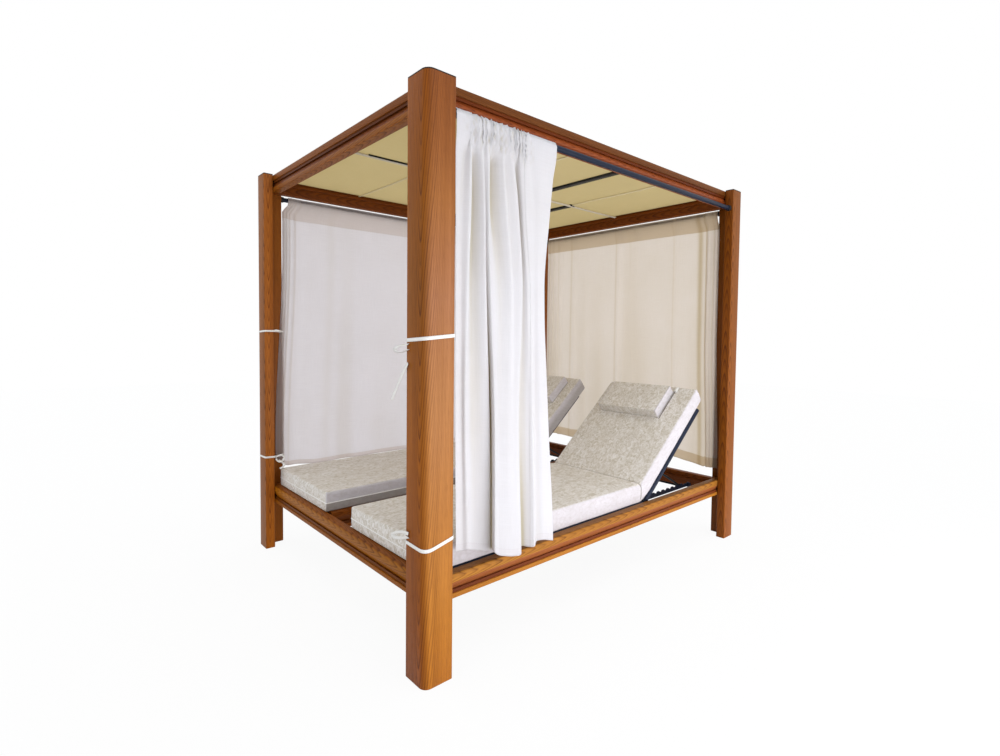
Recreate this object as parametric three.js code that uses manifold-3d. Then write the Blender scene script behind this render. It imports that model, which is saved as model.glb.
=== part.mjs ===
// Outdoor daybed with canopy: a wooden four-post frame that carries two reclining loungers side by side,
// a roof cloth on bars and curtains on three rods.
// Millimetres, +Z up. The origin is on the floor under the middle of the bed. +X runs from the foot end
// to the head end, and -Y is the near long side.
import * as THREE from 'three';
import { mergeVertices } from 'three/addons/utils/BufferGeometryUtils.js';
import Module from 'manifold-3d';

const wasm = await Module();
wasm.setup();

// Driving dimensions
const gap = 0.3; // between faces that touch
const overrun = 1; // how far a cut passes the face it starts from
const bed = { length: 2280, width: 1720, height: 2100 };
const post = { flange: 120, thickness: 50, cornerRadius: 30, edgeRadius: 4 };
const cap = { thickness: 4 };
const beam = {
  height: 90, depth: 45, coveDepth: 15, stepDepth: 6, edgeRadius: 3,
  ledgeDrop: 29, ledgeDepth: 13, ledgeHeight: 15,
};
const railFace = { lip: 30, cove: 29, step: 13 }; // heights on the outer face, from the top edge down
const roofFace = { lip: 20, cove: 28, step: 12 }; // the same, from the bottom edge up
const railTop = 347;
const roofDrop = 5; // from the top of the caps to the top of the roof beams
const centralGap = 230; // between the grooved faces of the two inner beams
const bracket = { leg: 60, thickness: 4, height: 34, lift: 6, boltRadius: 6, boltHead: 4, boltInset: 18 };
const crossBar = { count: 4, pitch: 373, width: 20, height: 12 };
const centreBar = { width: 20, height: 6 };
const cloth = { thickness: 2, sag: 9 };
const rod = { radius: 12.5, below: 15, inset: 25, seat: 3 };
const socket = { radius: 17, length: 18, clearance: 0.3, shoulder: 9 };
const tie = { thickness: 1.2, width: 12, upperHeight: 1200, lowerHeight: 505 };

const tube = { radius: 15, clearance: 2.5 };
const slat = { width: 50, thickness: 5.5 };
const seat = { slatCount: 8, slatStart: 190, lastSlat: 226, rearTube: 66 }; // the last two before the hinge
const hinge = {
  fromHead: 814, rodRadius: 6, clearance: 0.3, plate: 6, plateOffset: 3, discRadius: 13, reach: 24,
  armHalf: 10,
};
const backrest = {
  angle: 40, tubeRadius: 14, length: 703, tubeStart: 16,
  lowSlats: 2, lowSlat: 70, lowPitch: 100, highSlats: 4, overProp: 75, endSlat: 63,
};
const prop = {
  attach: 245, length: 370, footDrop: 18.3, rodRadius: 6, eyeRadius: 11, eyeWidth: 12, clearance: 1.5,
};
const rack = {
  spread: 415, thickness: 5, height: 20, drop: 33.3, reach: 594, teeth: 8, toothPitch: 50, toothHeight: 8,
  toothLand: 12, toothRoot: 14, firstTooth: 149, riser: 16, riserLength: 30, knobRadius: 15, knobWidth: 12,
};
const pad = {
  thickness: 100, inset: 5, fromMiddle: 109.7, start: 98, beforeHinge: 86, crown: 8, draw: 5, edge: 6,
  backStart: 60, overhang: 37,
};
const pillow = {
  length: 215, thickness: 50, fromEnd: 50, fromOutside: 145, fromInside: 105, crown: 6, draw: 4, edge: 5,
};

const nearCurtain = {
  start: 140, top: 492, waist: 448, bottom: 512, folds: 9, fewFolds: 5, foldDepth: 15, hemDepth: 26,
  hem: 376, stations: 46, levels: 6,
};
const farCurtain = { start: 140, hem: 445, folds: 8, foldDepth: 4, hemDepth: 12, stations: 32, levels: 3 };
const headCurtain = { start: 140, hem: 452, folds: 12, foldDepth: 5, hemDepth: 14, stations: 48, levels: 3 };
const header = { radius: 16, bore: 13.1, frill: 5, frillThickness: 3, sheet: 4 };

// Derived places
const roofTop = bed.height - roofDrop;
const pocket = post.thickness + gap; // outer face of every beam, from the outer face of the posts
const beamInside = pocket + beam.depth;
const ledgeInside = beamInside + beam.ledgeDepth;
const railBottom = railTop - beam.height;
const roofBottom = roofTop - beam.height;
const ledgeTop = railTop - beam.ledgeDrop;
const roofLedgeTop = roofTop - beam.ledgeDrop;
const rodHeight = roofBottom - rod.below;
const frameTop = ledgeTop + gap + 2 * tube.radius;
const padBottom = frameTop + gap;
const pivotHeight = frameTop - tube.radius;
const baySide = centralGap / 2 + beam.depth; // bay face of an inner beam, from the middle of the bed
const bayEdge = bed.width / 2 - beamInside;
const loungerAxis = (baySide + bayEdge) / 2;
const loungerHalf = (bayEdge - baySide) / 2 - tube.clearance;
const sideTube = loungerHalf - tube.radius; // from the lounger's axis
const backAngle = THREE.MathUtils.degToRad(backrest.angle);
const propDrop = prop.attach * Math.sin(backAngle) + prop.footDrop;
const propAngle = Math.asin(propDrop / prop.length);
const propLeg = rack.spread / 2 - rack.thickness / 2 - prop.clearance - prop.rodRadius;
const backPadLow = padBottom - pivotHeight; // so that the pads are level when the backrest is flat
const padWidth = bayEdge - pad.inset - pad.fromMiddle;
const padBackEnd = backrest.length + pad.overhang;
const pillowWidth = padWidth - pillow.fromOutside - pillow.fromInside;
const pillowStart = padBackEnd - pillow.fromEnd - pillow.length;

const fromFoot = (x) => x - bed.length / 2;
const fromHead = (x) => bed.length / 2 - x;

// Materials
const finish = (color, roughness, metalness = 0) =>
  new THREE.MeshStandardMaterial({ color, roughness, metalness });
const wood = finish('#9c5a2a', 0.55);
const blackPlastic = finish('#1b1c20', 0.6);
const blueTube = finish('#2f3a4e', 0.4, 0.3);
const blackSteel = finish('#17181c', 0.45, 0.4);
const galvanised = finish('#8f9295', 0.45, 0.8);
const roofCloth = finish('#c2ae78', 0.9);
const curtainCloth = finish('#e6e2e2', 0.9);
const padCloth = finish('#cdc5b4', 0.95);
const tape = finish('#f2f0ec', 0.85);

// Solid helpers
function solidFrom(geometry) {
  const bare = geometry.clone();
  bare.deleteAttribute('normal');
  bare.deleteAttribute('uv');
  const merged = mergeVertices(bare);
  return new wasm.Manifold(new wasm.Mesh({
    numProp: 3,
    vertProperties: new Float32Array(merged.attributes.position.array),
    triVerts: new Uint32Array(merged.index.array),
  }));
}

function geometryFrom(solid) {
  const mesh = solid.getMesh();
  const geometry = new THREE.BufferGeometry();
  geometry.setAttribute('position', new THREE.BufferAttribute(mesh.vertProperties, 3));
  geometry.setIndex(new THREE.BufferAttribute(mesh.triVerts, 1));
  return geometry;
}

function join(geometries) {
  let whole = solidFrom(geometries[0]);
  for (const geometry of geometries.slice(1)) {
    whole = whole.add(solidFrom(geometry));
  }
  return geometryFrom(whole);
}

function cut(geometry, tools) {
  let whole = solidFrom(geometry);
  for (const tool of tools) {
    whole = whole.subtract(solidFrom(tool));
  }
  return geometryFrom(whole);
}

function box(x, y, z) {
  const geometry = new THREE.BoxGeometry(x[1] - x[0], y[1] - y[0], z[1] - z[0]);
  return geometry.translate((x[0] + x[1]) / 2, (y[0] + y[1]) / 2, (z[0] + z[1]) / 2);
}

// A round bar between two values of x, at one y and z
function barAlongX(x, y, z, radius, sides = 12) {
  const geometry = new THREE.CylinderGeometry(radius, radius, x[1] - x[0], sides);
  return geometry.rotateZ(-Math.PI / 2).translate((x[0] + x[1]) / 2, y, z);
}

// A round bar between two values of y, at one x and z
function barAlongY(x, y, z, radius, sides = 12) {
  const geometry = new THREE.CylinderGeometry(radius, radius, y[1] - y[0], sides);
  return geometry.translate(x, (y[0] + y[1]) / 2, z);
}

// An outline with its corners rounded: each point is [across, up, radius]
function softShape(points) {
  const shape = new THREE.Shape();
  points.forEach(([across, up, radius], i) => {
    const corner = new THREE.Vector2(across, up);
    const before = new THREE.Vector2(...points[(i + points.length - 1) % points.length].slice(0, 2));
    const after = new THREE.Vector2(...points[(i + 1) % points.length].slice(0, 2));
    const arrive = corner.clone().add(before.sub(corner).setLength(radius));
    const leave = corner.clone().add(after.sub(corner).setLength(radius));
    if (i === 0) {
      shape.moveTo(arrive.x, arrive.y);
    } else {
      shape.lineTo(arrive.x, arrive.y);
    }
    if (radius > 0) {
      shape.quadraticCurveTo(corner.x, corner.y, leave.x, leave.y);
    }
  });
  shape.closePath();
  return shape;
}

function extrude(shape, depth, curveSegments = 3) {
  return new THREE.ExtrudeGeometry(shape, { depth, bevelEnabled: false, curveSegments });
}

// Stands an outline of (y, z) along x
function extrudeAlongX(shape, x) {
  const turn = new THREE.Matrix4().makeBasis(
    new THREE.Vector3(0, 1, 0), new THREE.Vector3(0, 0, 1), new THREE.Vector3(1, 0, 0),
  );
  return extrude(shape, x[1] - x[0]).applyMatrix4(turn).translate(x[0], 0, 0);
}

// Stands an outline of (x, z) along y
function extrudeAlongY(shape, y) {
  const turn = new THREE.Matrix4().makeBasis(
    new THREE.Vector3(1, 0, 0), new THREE.Vector3(0, 0, 1), new THREE.Vector3(0, -1, 0),
  );
  return extrude(shape, y[1] - y[0]).applyMatrix4(turn).translate(0, y[1], 0);
}

// The places of a row of like pieces, from the first to the last
function spread(first, last, count) {
  return Array.from({ length: count }, (_, i) => first + (i * (last - first)) / (count - 1));
}

function piece(name, geometry, material) {
  const mesh = new THREE.Mesh(geometry, material);
  mesh.name = name;
  return mesh;
}

const daybed = new THREE.Group();

// Posts and caps
const corners = [
  { name: 'foot_near', x: -1, y: -1, turn: 0 },
  { name: 'head_near', x: 1, y: -1, turn: Math.PI / 2 },
  { name: 'head_far', x: 1, y: 1, turn: Math.PI },
  { name: 'foot_far', x: -1, y: 1, turn: -Math.PI / 2 },
];

function angleShape() {
  const edge = post.edgeRadius;
  return softShape([
    [0, 0, post.cornerRadius],
    [post.flange, 0, edge],
    [post.flange, post.thickness, edge],
    [post.thickness, post.thickness, 0],
    [post.thickness, post.flange, edge],
    [0, post.flange, edge],
  ]);
}

function atCorner(mesh, corner) {
  mesh.rotation.z = corner.turn;
  mesh.position.set((corner.x * bed.length) / 2, (corner.y * bed.width) / 2, 0);
  return mesh;
}

const postHeight = bed.height - cap.thickness - gap;
for (const corner of corners) {
  const stem = extrude(angleShape(), postHeight, 6);
  const lid = extrude(angleShape(), cap.thickness, 6).translate(0, 0, postHeight + gap);
  daybed.add(atCorner(piece(`post_${corner.name}`, stem, wood), corner));
  daybed.add(atCorner(piece(`post_cap_${corner.name}`, lid, blackPlastic), corner));
}

// Grooved beams: the outer face is at y = 0 and the bottom at z = 0, along x about the middle. A cove
// slants in from the lip and ends at a step; a rail has its lip at the top and a roof beam at the bottom.
function grooveShape(face) {
  const { height, depth, coveDepth, stepDepth, edgeRadius } = beam;
  const coveEnd = face.lip + face.cove;
  const stepEnd = coveEnd + face.step;
  const outline = [
    [0, 0, edgeRadius],
    [0, face.lip, edgeRadius],
    [coveDepth, coveEnd, 0],
    [stepDepth, coveEnd, 0],
    [stepDepth, stepEnd, 0],
    [0, stepEnd, edgeRadius],
    [0, height, edgeRadius],
    [depth, height, edgeRadius],
    [depth, 0, edgeRadius],
  ];
  if (face === roofFace) {
    return softShape(outline);
  }
  return softShape(outline.map(([deep, up, radius]) => [deep, height - up, radius]));
}

function groovedBeam(face, length, ledgeLength) {
  const top = beam.height - beam.ledgeDrop;
  const bar = extrudeAlongX(grooveShape(face), [-length / 2, length / 2]);
  const ledge = box(
    [-ledgeLength / 2, ledgeLength / 2],
    [beam.depth - overrun, beam.depth + beam.ledgeDepth],
    [top - beam.ledgeHeight, top],
  );
  return join([bar, ledge]);
}

function placedBeam(name, face, length, ledgeLength, turn, x, y, z) {
  const mesh = piece(name, groovedBeam(face, length, ledgeLength), wood);
  mesh.rotation.z = turn;
  mesh.position.set(x, y, z);
  return mesh;
}

const longLength = bed.length - 2 * pocket;
const longLedge = bed.length - 2 * (ledgeInside + gap);
const shortLength = bed.width - 2 * (beamInside + gap);
for (const [kind, face, z] of [['rail', railFace, railBottom], ['roof_beam', roofFace, roofBottom]]) {
  const sideY = bed.width / 2 - pocket;
  const endX = bed.length / 2 - pocket;
  daybed.add(placedBeam(`${kind}_near`, face, longLength, longLedge, 0, 0, -sideY, z));
  daybed.add(placedBeam(`${kind}_far`, face, longLength, longLedge, Math.PI, 0, sideY, z));
  daybed.add(placedBeam(`${kind}_head`, face, shortLength, shortLength, Math.PI / 2, endX, 0, z));
  daybed.add(placedBeam(`${kind}_foot`, face, shortLength, shortLength, -Math.PI / 2, -endX, 0, z));
}
const innerY = centralGap / 2;
daybed.add(placedBeam('inner_beam_near', railFace, longLedge, longLedge, Math.PI, 0, -innerY, railBottom));
daybed.add(placedBeam('inner_beam_far', railFace, longLedge, longLedge, 0, 0, innerY, railBottom));

// Angle brackets with bolt heads in the corners of the bottom rails
function cornerBracket() {
  const { leg, thickness, height, boltRadius, boltHead, boltInset } = bracket;
  const level = height / 2;
  const head = [thickness - gap, thickness + boltHead];
  const plates = [
    box([0, leg], [0, thickness], [0, height]),
    box([0, thickness], [0, leg], [0, height]),
  ];
  const bolts = [boltInset, leg - boltInset / 2].flatMap((place) => [
    barAlongY(place, head, level, boltRadius, 6),
    barAlongX(head, place, level, boltRadius, 6),
  ]);
  return join([...plates, ...bolts]);
}

for (const corner of corners) {
  const mesh = piece(`bracket_${corner.name}`, cornerBracket(), galvanised);
  mesh.rotation.z = corner.turn;
  mesh.position.set(
    corner.x * (bed.length / 2 - beamInside - gap),
    corner.y * (bed.width / 2 - beamInside - gap),
    railBottom + bracket.lift,
  );
  daybed.add(mesh);
}

// Roof: cross bars on the ledges of the long beams, one lengthwise bar under them and the cloth above
const barBottom = roofLedgeTop + gap;
const barHalf = bed.width / 2 - beamInside - gap;
const barPlaces = [];
for (let i = 0; i < crossBar.count; i += 1) {
  barPlaces.push((i - (crossBar.count - 1) / 2) * crossBar.pitch);
}
barPlaces.forEach((x, i) => {
  const bar = box(
    [x - crossBar.width / 2, x + crossBar.width / 2],
    [-barHalf, barHalf],
    [barBottom, barBottom + crossBar.height],
  );
  daybed.add(piece(`roof_cross_bar_${i + 1}`, bar, blackSteel));
});
const centreHalf = bed.length / 2 - ledgeInside - gap;
daybed.add(piece('roof_centre_bar', box(
  [-centreHalf, centreHalf],
  [-centreBar.width / 2, centreBar.width / 2],
  [barBottom - gap - centreBar.height, barBottom - gap],
), blackSteel));

// A closed sheet of even thickness: place(u, v) gives the underside, with u and v from 0 to 1
function sheetGeometry(across, along, thickness, place) {
  const positions = [];
  const index = [];
  const row = along + 1;
  const layer = (across + 1) * row;
  for (const lift of [0, thickness]) {
    for (let i = 0; i <= across; i += 1) {
      for (let j = 0; j <= along; j += 1) {
        const at = place(i / across, j / along);
        positions.push(at.x, at.y, at.z + lift);
      }
    }
  }
  const quad = (a, b, c, d) => index.push(a, b, c, a, c, d);
  for (let i = 0; i < across; i += 1) {
    for (let j = 0; j < along; j += 1) {
      const a = i * row + j;
      quad(a, a + 1, a + row + 1, a + row);
      quad(layer + a, layer + a + row, layer + a + row + 1, layer + a + 1);
    }
  }
  for (let i = 0; i < across; i += 1) {
    const low = i * row;
    const high = low + along;
    quad(low, low + row, layer + low + row, layer + low);
    quad(high + row, high, layer + high, layer + high + row);
  }
  for (let j = 0; j < along; j += 1) {
    const end = across * row + j;
    quad(j + 1, j, layer + j, layer + j + 1);
    quad(end, end + 1, layer + end + 1, layer + end);
  }
  const geometry = new THREE.BufferGeometry();
  geometry.setAttribute('position', new THREE.Float32BufferAttribute(positions, 3));
  geometry.setIndex(index);
  return geometry;
}

// The roof cloth lies on the cross bars and sags a little between them
const clothHalfX = bed.length / 2 - beamInside - gap;
const clothBottom = barBottom + crossBar.height + gap;
const clothBays = crossBar.count + 1;
const bayEnds = [-clothHalfX, ...barPlaces, clothHalfX];
daybed.add(piece('roof_cloth', sheetGeometry(6 * clothBays, 4, cloth.thickness, (u, v) => {
  const bay = Math.min(Math.floor(u * clothBays), clothBays - 1);
  const share = u * clothBays - bay;
  const dip = Math.sin(Math.PI * share) ** 4 * Math.sin(Math.PI * v);
  return {
    x: bayEnds[bay] + share * (bayEnds[bay + 1] - bayEnds[bay]),
    y: (2 * v - 1) * barHalf,
    z: clothBottom - cloth.sag * dip,
  };
}), roofCloth));

// Curtain rods in end sockets on the flange ends of the posts
function endSocket() {
  const bore = rod.radius + socket.clearance;
  const profile = [
    [0, 0], [socket.radius, 0], [socket.radius, socket.shoulder], [socket.radius - gap, socket.length],
    [bore, socket.length], [bore, rod.seat], [0, rod.seat],
  ].map(([radius, along]) => new THREE.Vector2(radius, along));
  return new THREE.LatheGeometry(profile, 16);
}

// Adds a rod that lies along x in its own group, with a socket at each end
function addRod(name, span, turn, x, y) {
  const half = span / 2 - post.flange - gap;
  const group = new THREE.Group();
  const seated = half - rod.seat - gap;
  group.add(piece(`${name}_rod`, barAlongX([-seated, seated], 0, 0, rod.radius, 16), blueTube));
  const low = piece(`${name}_rod_socket_1`, endSocket(), blackPlastic);
  low.rotation.z = -Math.PI / 2;
  low.position.x = -half;
  const high = piece(`${name}_rod_socket_2`, endSocket(), blackPlastic);
  high.rotation.z = Math.PI / 2;
  high.position.x = half;
  group.add(low, high);
  group.rotation.z = turn;
  group.position.set(x, y, rodHeight);
  daybed.add(group);
}

const rodY = bed.width / 2 - rod.inset;
const rodX = bed.length / 2 - rod.inset;
addRod('near', bed.length, 0, 0, -rodY);
addRod('far', bed.length, Math.PI, 0, rodY);
addRod('head', bed.width, Math.PI / 2, rodX, 0);

// Curtains hang from a sleeve round the rod. In a curtain's own frame x runs along the rod, -y is
// outwards and z = 0 is the rod's axis. width(t) and fold(s, t) take s along the rod and t down the drop.
function curtainGeometry(form) {
  const { stations, levels, width, fold, hem } = form;
  const half = header.sheet / 2;
  const sleeve = header.radius;
  const lean = Math.sqrt(3) / 2;
  const pairs = [];
  for (let k = levels; k >= 0; k -= 1) {
    pairs.push({ t: k / levels, half });
  }
  pairs.push({ up: -lean * sleeve, half: sleeve / 2 });
  pairs.push({ up: 0, half: sleeve });
  pairs.push({ up: lean * sleeve, half: sleeve / 2 });
  pairs.push({ up: sleeve + header.frill, half: header.frillThickness / 2 });
  const positions = [];
  const index = [];
  const ring = 2 * pairs.length;
  for (let i = 0; i <= stations; i += 1) {
    const s = i / stations;
    const drop = hem(s) - sleeve;
    for (const side of [-1, 1]) {
      for (const pair of side < 0 ? pairs : [...pairs].reverse()) {
        const hanging = pair.t !== undefined;
        const t = hanging ? pair.t : 0;
        const middle = hanging ? fold(s, t) : 0;
        const z = hanging ? -sleeve - header.sheet - drop * t : pair.up;
        positions.push(s * width(t), middle + side * pair.half, z);
      }
    }
  }
  const quad = (a, b, c, d) => index.push(a, b, c, a, c, d);
  for (let i = 0; i < stations; i += 1) {
    for (let k = 0; k < ring; k += 1) {
      const next = (k + 1) % ring;
      quad(i * ring + k, (i + 1) * ring + k, (i + 1) * ring + next, i * ring + next);
    }
  }
  const last = stations * ring;
  for (let k = 0; k < pairs.length - 1; k += 1) {
    const other = ring - 1 - k;
    quad(k, k + 1, other - 1, other);
    quad(last + k, last + other, last + other - 1, last + k + 1);
  }
  const geometry = new THREE.BufferGeometry();
  geometry.setAttribute('position', new THREE.Float32BufferAttribute(positions, 3));
  geometry.setIndex(index);
  const length = width(0);
  return cut(geometry, [barAlongX([-overrun, length + overrun], 0, 0, header.bore, 16)]);
}

// Fold waves run from a fine count at the top to a coarse one at the hem
const mix = (a, b, t) => a + (b - a) * t;
const wave = (s, count) => Math.sin(2 * Math.PI * count * s);

function nearForm() {
  const { top, waist, bottom, folds, fewFolds, foldDepth, hemDepth, stations, levels } = nearCurtain;
  const taper = (t) => (t < 0.5 ? mix(top, waist, 2 * t) : mix(waist, bottom, 2 * t - 1));
  return {
    stations, levels,
    width: taper,
    hem: () => rodHeight - nearCurtain.hem,
    fold: (s, t) => mix(foldDepth * wave(s, folds), hemDepth * wave(s, fewFolds), t) * Math.min(1, 4 * t),
  };
}

function spreadForm(form, span) {
  const { folds, foldDepth, hemDepth, stations, levels } = form;
  return {
    stations, levels,
    width: () => span - 2 * form.start,
    hem: () => rodHeight - form.hem,
    fold: (s, t) => mix(foldDepth, hemDepth, t) * wave(s, folds) * Math.min(1, 4 * t),
  };
}

function addCurtain(name, geometry, turn, x, y) {
  const mesh = piece(name, geometry, curtainCloth);
  mesh.rotation.z = turn;
  mesh.position.set(x, y, rodHeight);
  daybed.add(mesh);
}

addCurtain('near_curtain', curtainGeometry(nearForm()), 0, fromFoot(nearCurtain.start), -rodY);
addCurtain('far_curtain', curtainGeometry(spreadForm(farCurtain, bed.length)), Math.PI,
  fromHead(farCurtain.start), rodY);
addCurtain('head_curtain', curtainGeometry(spreadForm(headCurtain, bed.width)), Math.PI / 2,
  rodX, headCurtain.start - bed.width / 2);

// Tie tapes round the posts at the foot end
function tieShape(off) {
  const slant = off * (Math.SQRT2 - 1);
  return softShape([
    [-off, -off, post.cornerRadius + off],
    [post.flange + off, -off, 0],
    [post.flange + off, post.thickness + slant, 0],
    [post.thickness + slant, post.flange + off, 0],
    [-off, post.flange + off, 0],
  ]);
}

for (const corner of corners.filter((each) => each.x < 0)) {
  for (const [level, height] of [['upper', tie.upperHeight], ['lower', tie.lowerHeight]]) {
    const band = tieShape(gap + tie.thickness);
    band.holes.push(tieShape(gap));
    const ring = extrude(band, tie.width, 6).translate(0, 0, height - tie.width / 2);
    daybed.add(atCorner(piece(`tie_${corner.name}_${level}`, ring, tape), corner));
  }
}

// A cushion about the origin of its own frame, resting on z = 0: crowned, with drawn-in sides
function cushion(length, width, thickness, form, along, across) {
  const geometry = new THREE.BoxGeometry(length, width, thickness, along, across, 2);
  const place = geometry.attributes.position;
  const point = new THREE.Vector3();
  for (let i = 0; i < place.count; i += 1) {
    point.fromBufferAttribute(place, i);
    const u = point.x / (length / 2);
    const v = point.y / (width / 2);
    const t = point.z / (thickness / 2);
    const rim = form.edge * t * t;
    if (Math.abs(u) > 1 - form.edge / length) {
      point.x -= Math.sign(u) * (form.draw * (1 - v ** 4) + rim);
    }
    if (Math.abs(v) > 1 - form.edge / width) {
      point.y -= Math.sign(v) * (form.draw * (1 - u ** 4) + rim);
    }
    if (t > 0) {
      point.z += form.crown * ((1 - u ** 4) * (1 - v ** 4) - 1);
    }
    place.setXYZ(i, point.x, point.y, point.z + thickness / 2);
  }
  geometry.deleteAttribute('normal');
  geometry.deleteAttribute('uv');
  return mergeVertices(geometry);
}

// Loungers: each is built about its own axis, with side = -1 for the near one and 1 for the far one
const frameStart = fromFoot(beamInside) + tube.clearance;
const pivotX = fromHead(hinge.fromHead);
const holeRadius = hinge.rodRadius + hinge.clearance;
const rearTubeX = pivotX - seat.rearTube;
const seatPadStart = fromFoot(pad.start);
const seatPadEnd = pivotX - pad.beforeHinge;

function seatFrame() {
  const edges = [-sideTube, sideTube];
  const axisZ = pivotHeight;
  const parts = edges.map((y) => barAlongX([frameStart, pivotX - hinge.reach], y, axisZ, tube.radius));
  for (const x of [frameStart + tube.radius, rearTubeX]) {
    parts.push(barAlongY(x, edges, axisZ, tube.radius));
  }
  const firstSlat = fromFoot(seat.slatStart);
  for (const x of spread(firstSlat, pivotX - seat.lastSlat, seat.slatCount)) {
    parts.push(box([x - slat.width / 2, x + slat.width / 2], edges, [frameTop - slat.thickness, frameTop]));
  }
  for (const hand of [-1, 1]) {
    const plateY = [sideTube - hinge.plateOffset, sideTube - hinge.plateOffset - hinge.plate];
    const y = plateY.map((value) => hand * value).sort((a, b) => a - b);
    parts.push(box([pivotX - hinge.reach - tube.radius, pivotX], y,
      [axisZ - hinge.armHalf, axisZ + hinge.armHalf]));
    parts.push(barAlongY(pivotX, y, axisZ, hinge.discRadius, 16));
    parts.push(...rackArm(hand));
  }
  const hole = barAlongY(pivotX, [-loungerHalf - overrun, loungerHalf + overrun], axisZ, holeRadius, 16);
  return cut(join(parts), [hole]);
}

// A toothed rack arm, cantilevered back from the rear cross tube, with a knob at its free end
function rackArm(hand) {
  const bottom = pivotHeight - rack.drop;
  const top = bottom + rack.height;
  const start = rearTubeX;
  const end = pivotX + rack.reach;
  const outline = [
    [start - tube.radius / 2, bottom, 0],
    [end, bottom, 0],
    [end, top, 0],
  ];
  for (let i = rack.teeth - 1; i >= 0; i -= 1) {
    const x = pivotX + rack.firstTooth + i * rack.toothPitch;
    outline.push(
      [x + rack.toothPitch - rack.toothRoot, top, 0],
      [x + rack.toothPitch - rack.toothRoot - rack.toothLand, top + rack.toothHeight, 0],
      [x + rack.toothLand / 2, top + rack.toothHeight, 0],
      [x, top, 0],
    );
  }
  outline.push(
    [start + rack.riserLength, top, 0],
    [start, top + rack.riser, 0],
    [start - tube.radius / 2, top + rack.riser, 0],
  );
  const middle = (hand * rack.spread) / 2;
  const y = [middle - rack.thickness / 2, middle + rack.thickness / 2];
  const knob = hand < 0 ? [y[0] - rack.knobWidth, y[1]] : [y[0], y[1] + rack.knobWidth];
  return [
    extrudeAlongY(softShape(outline), y),
    barAlongY(end, knob, bottom + rack.height / 2, rack.knobRadius, 16),
  ];
}

// The backrest frame in its own frame: x up the backrest from the hinge, z out of its face
function backrestFrame() {
  const edges = [-sideTube, sideTube];
  const radius = backrest.tubeRadius;
  const slatTop = backPadLow - gap;
  const parts = edges.map((y) => barAlongX([backrest.tubeStart, backrest.length], y, 0, radius));
  parts.push(barAlongY(backrest.length, [-sideTube - radius, sideTube + radius], 0, radius));
  parts.push(barAlongY(prop.attach, edges, 0, prop.rodRadius, 16));
  const { lowSlats, lowSlat, lowPitch, highSlats, overProp, endSlat } = backrest;
  const places = [
    ...spread(lowSlat, lowSlat + lowPitch, lowSlats),
    ...spread(prop.attach + overProp, backrest.length - endSlat, highSlats),
  ];
  for (const x of places) {
    parts.push(box([x - slat.width / 2, x + slat.width / 2], edges, [slatTop - slat.thickness, slatTop]));
  }
  for (const hand of [-1, 1]) {
    const plateY = [sideTube + hinge.plateOffset, sideTube + hinge.plateOffset + hinge.plate];
    const y = plateY.map((value) => hand * value).sort((a, b) => a - b);
    parts.push(box([0, backrest.tubeStart + radius], y, [-hinge.armHalf, hinge.armHalf]));
    parts.push(barAlongY(0, y, 0, hinge.discRadius, 16));
  }
  const hole = barAlongY(0, [-loungerHalf - overrun, loungerHalf + overrun], 0, holeRadius, 16);
  return cut(join(parts), [hole]);
}

// The prop in its own frame: x from its eyes to the foot bar
function propBar() {
  const parts = [];
  for (const y of [-propLeg, propLeg]) {
    parts.push(barAlongX([prop.rodRadius, prop.length], y, 0, prop.rodRadius));
    parts.push(barAlongY(0, [y - prop.eyeWidth / 2, y + prop.eyeWidth / 2], 0, prop.eyeRadius, 16));
  }
  parts.push(barAlongY(prop.length, [-propLeg - prop.rodRadius, propLeg + prop.rodRadius], 0, prop.rodRadius));
  const hole = barAlongY(0, [-loungerHalf, loungerHalf], 0, prop.rodRadius + hinge.clearance, 16);
  return cut(join(parts), [hole]);
}

// A place on the raised backrest, in the bed's x and z
function onBackrest(along, out) {
  return [
    pivotX + along * Math.cos(backAngle) - out * Math.sin(backAngle),
    pivotHeight + along * Math.sin(backAngle) + out * Math.cos(backAngle),
  ];
}

function foldPad(y) {
  const low = backPadLow;
  const high = low + pad.thickness;
  const end = pad.backStart - gap;
  const top = padBottom + pad.thickness;
  const crease = (top - pivotHeight - high * Math.cos(backAngle)) / Math.sin(backAngle);
  const startX = seatPadEnd + gap;
  return extrudeAlongY(softShape([
    [startX, padBottom, 0],
    [pivotX - hinge.armHalf, padBottom, 0],
    [...onBackrest(end, low), 0],
    [...onBackrest(end, high), 0],
    [...onBackrest(crease, high), 0],
    [startX, top, 0],
  ]), y);
}

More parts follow.
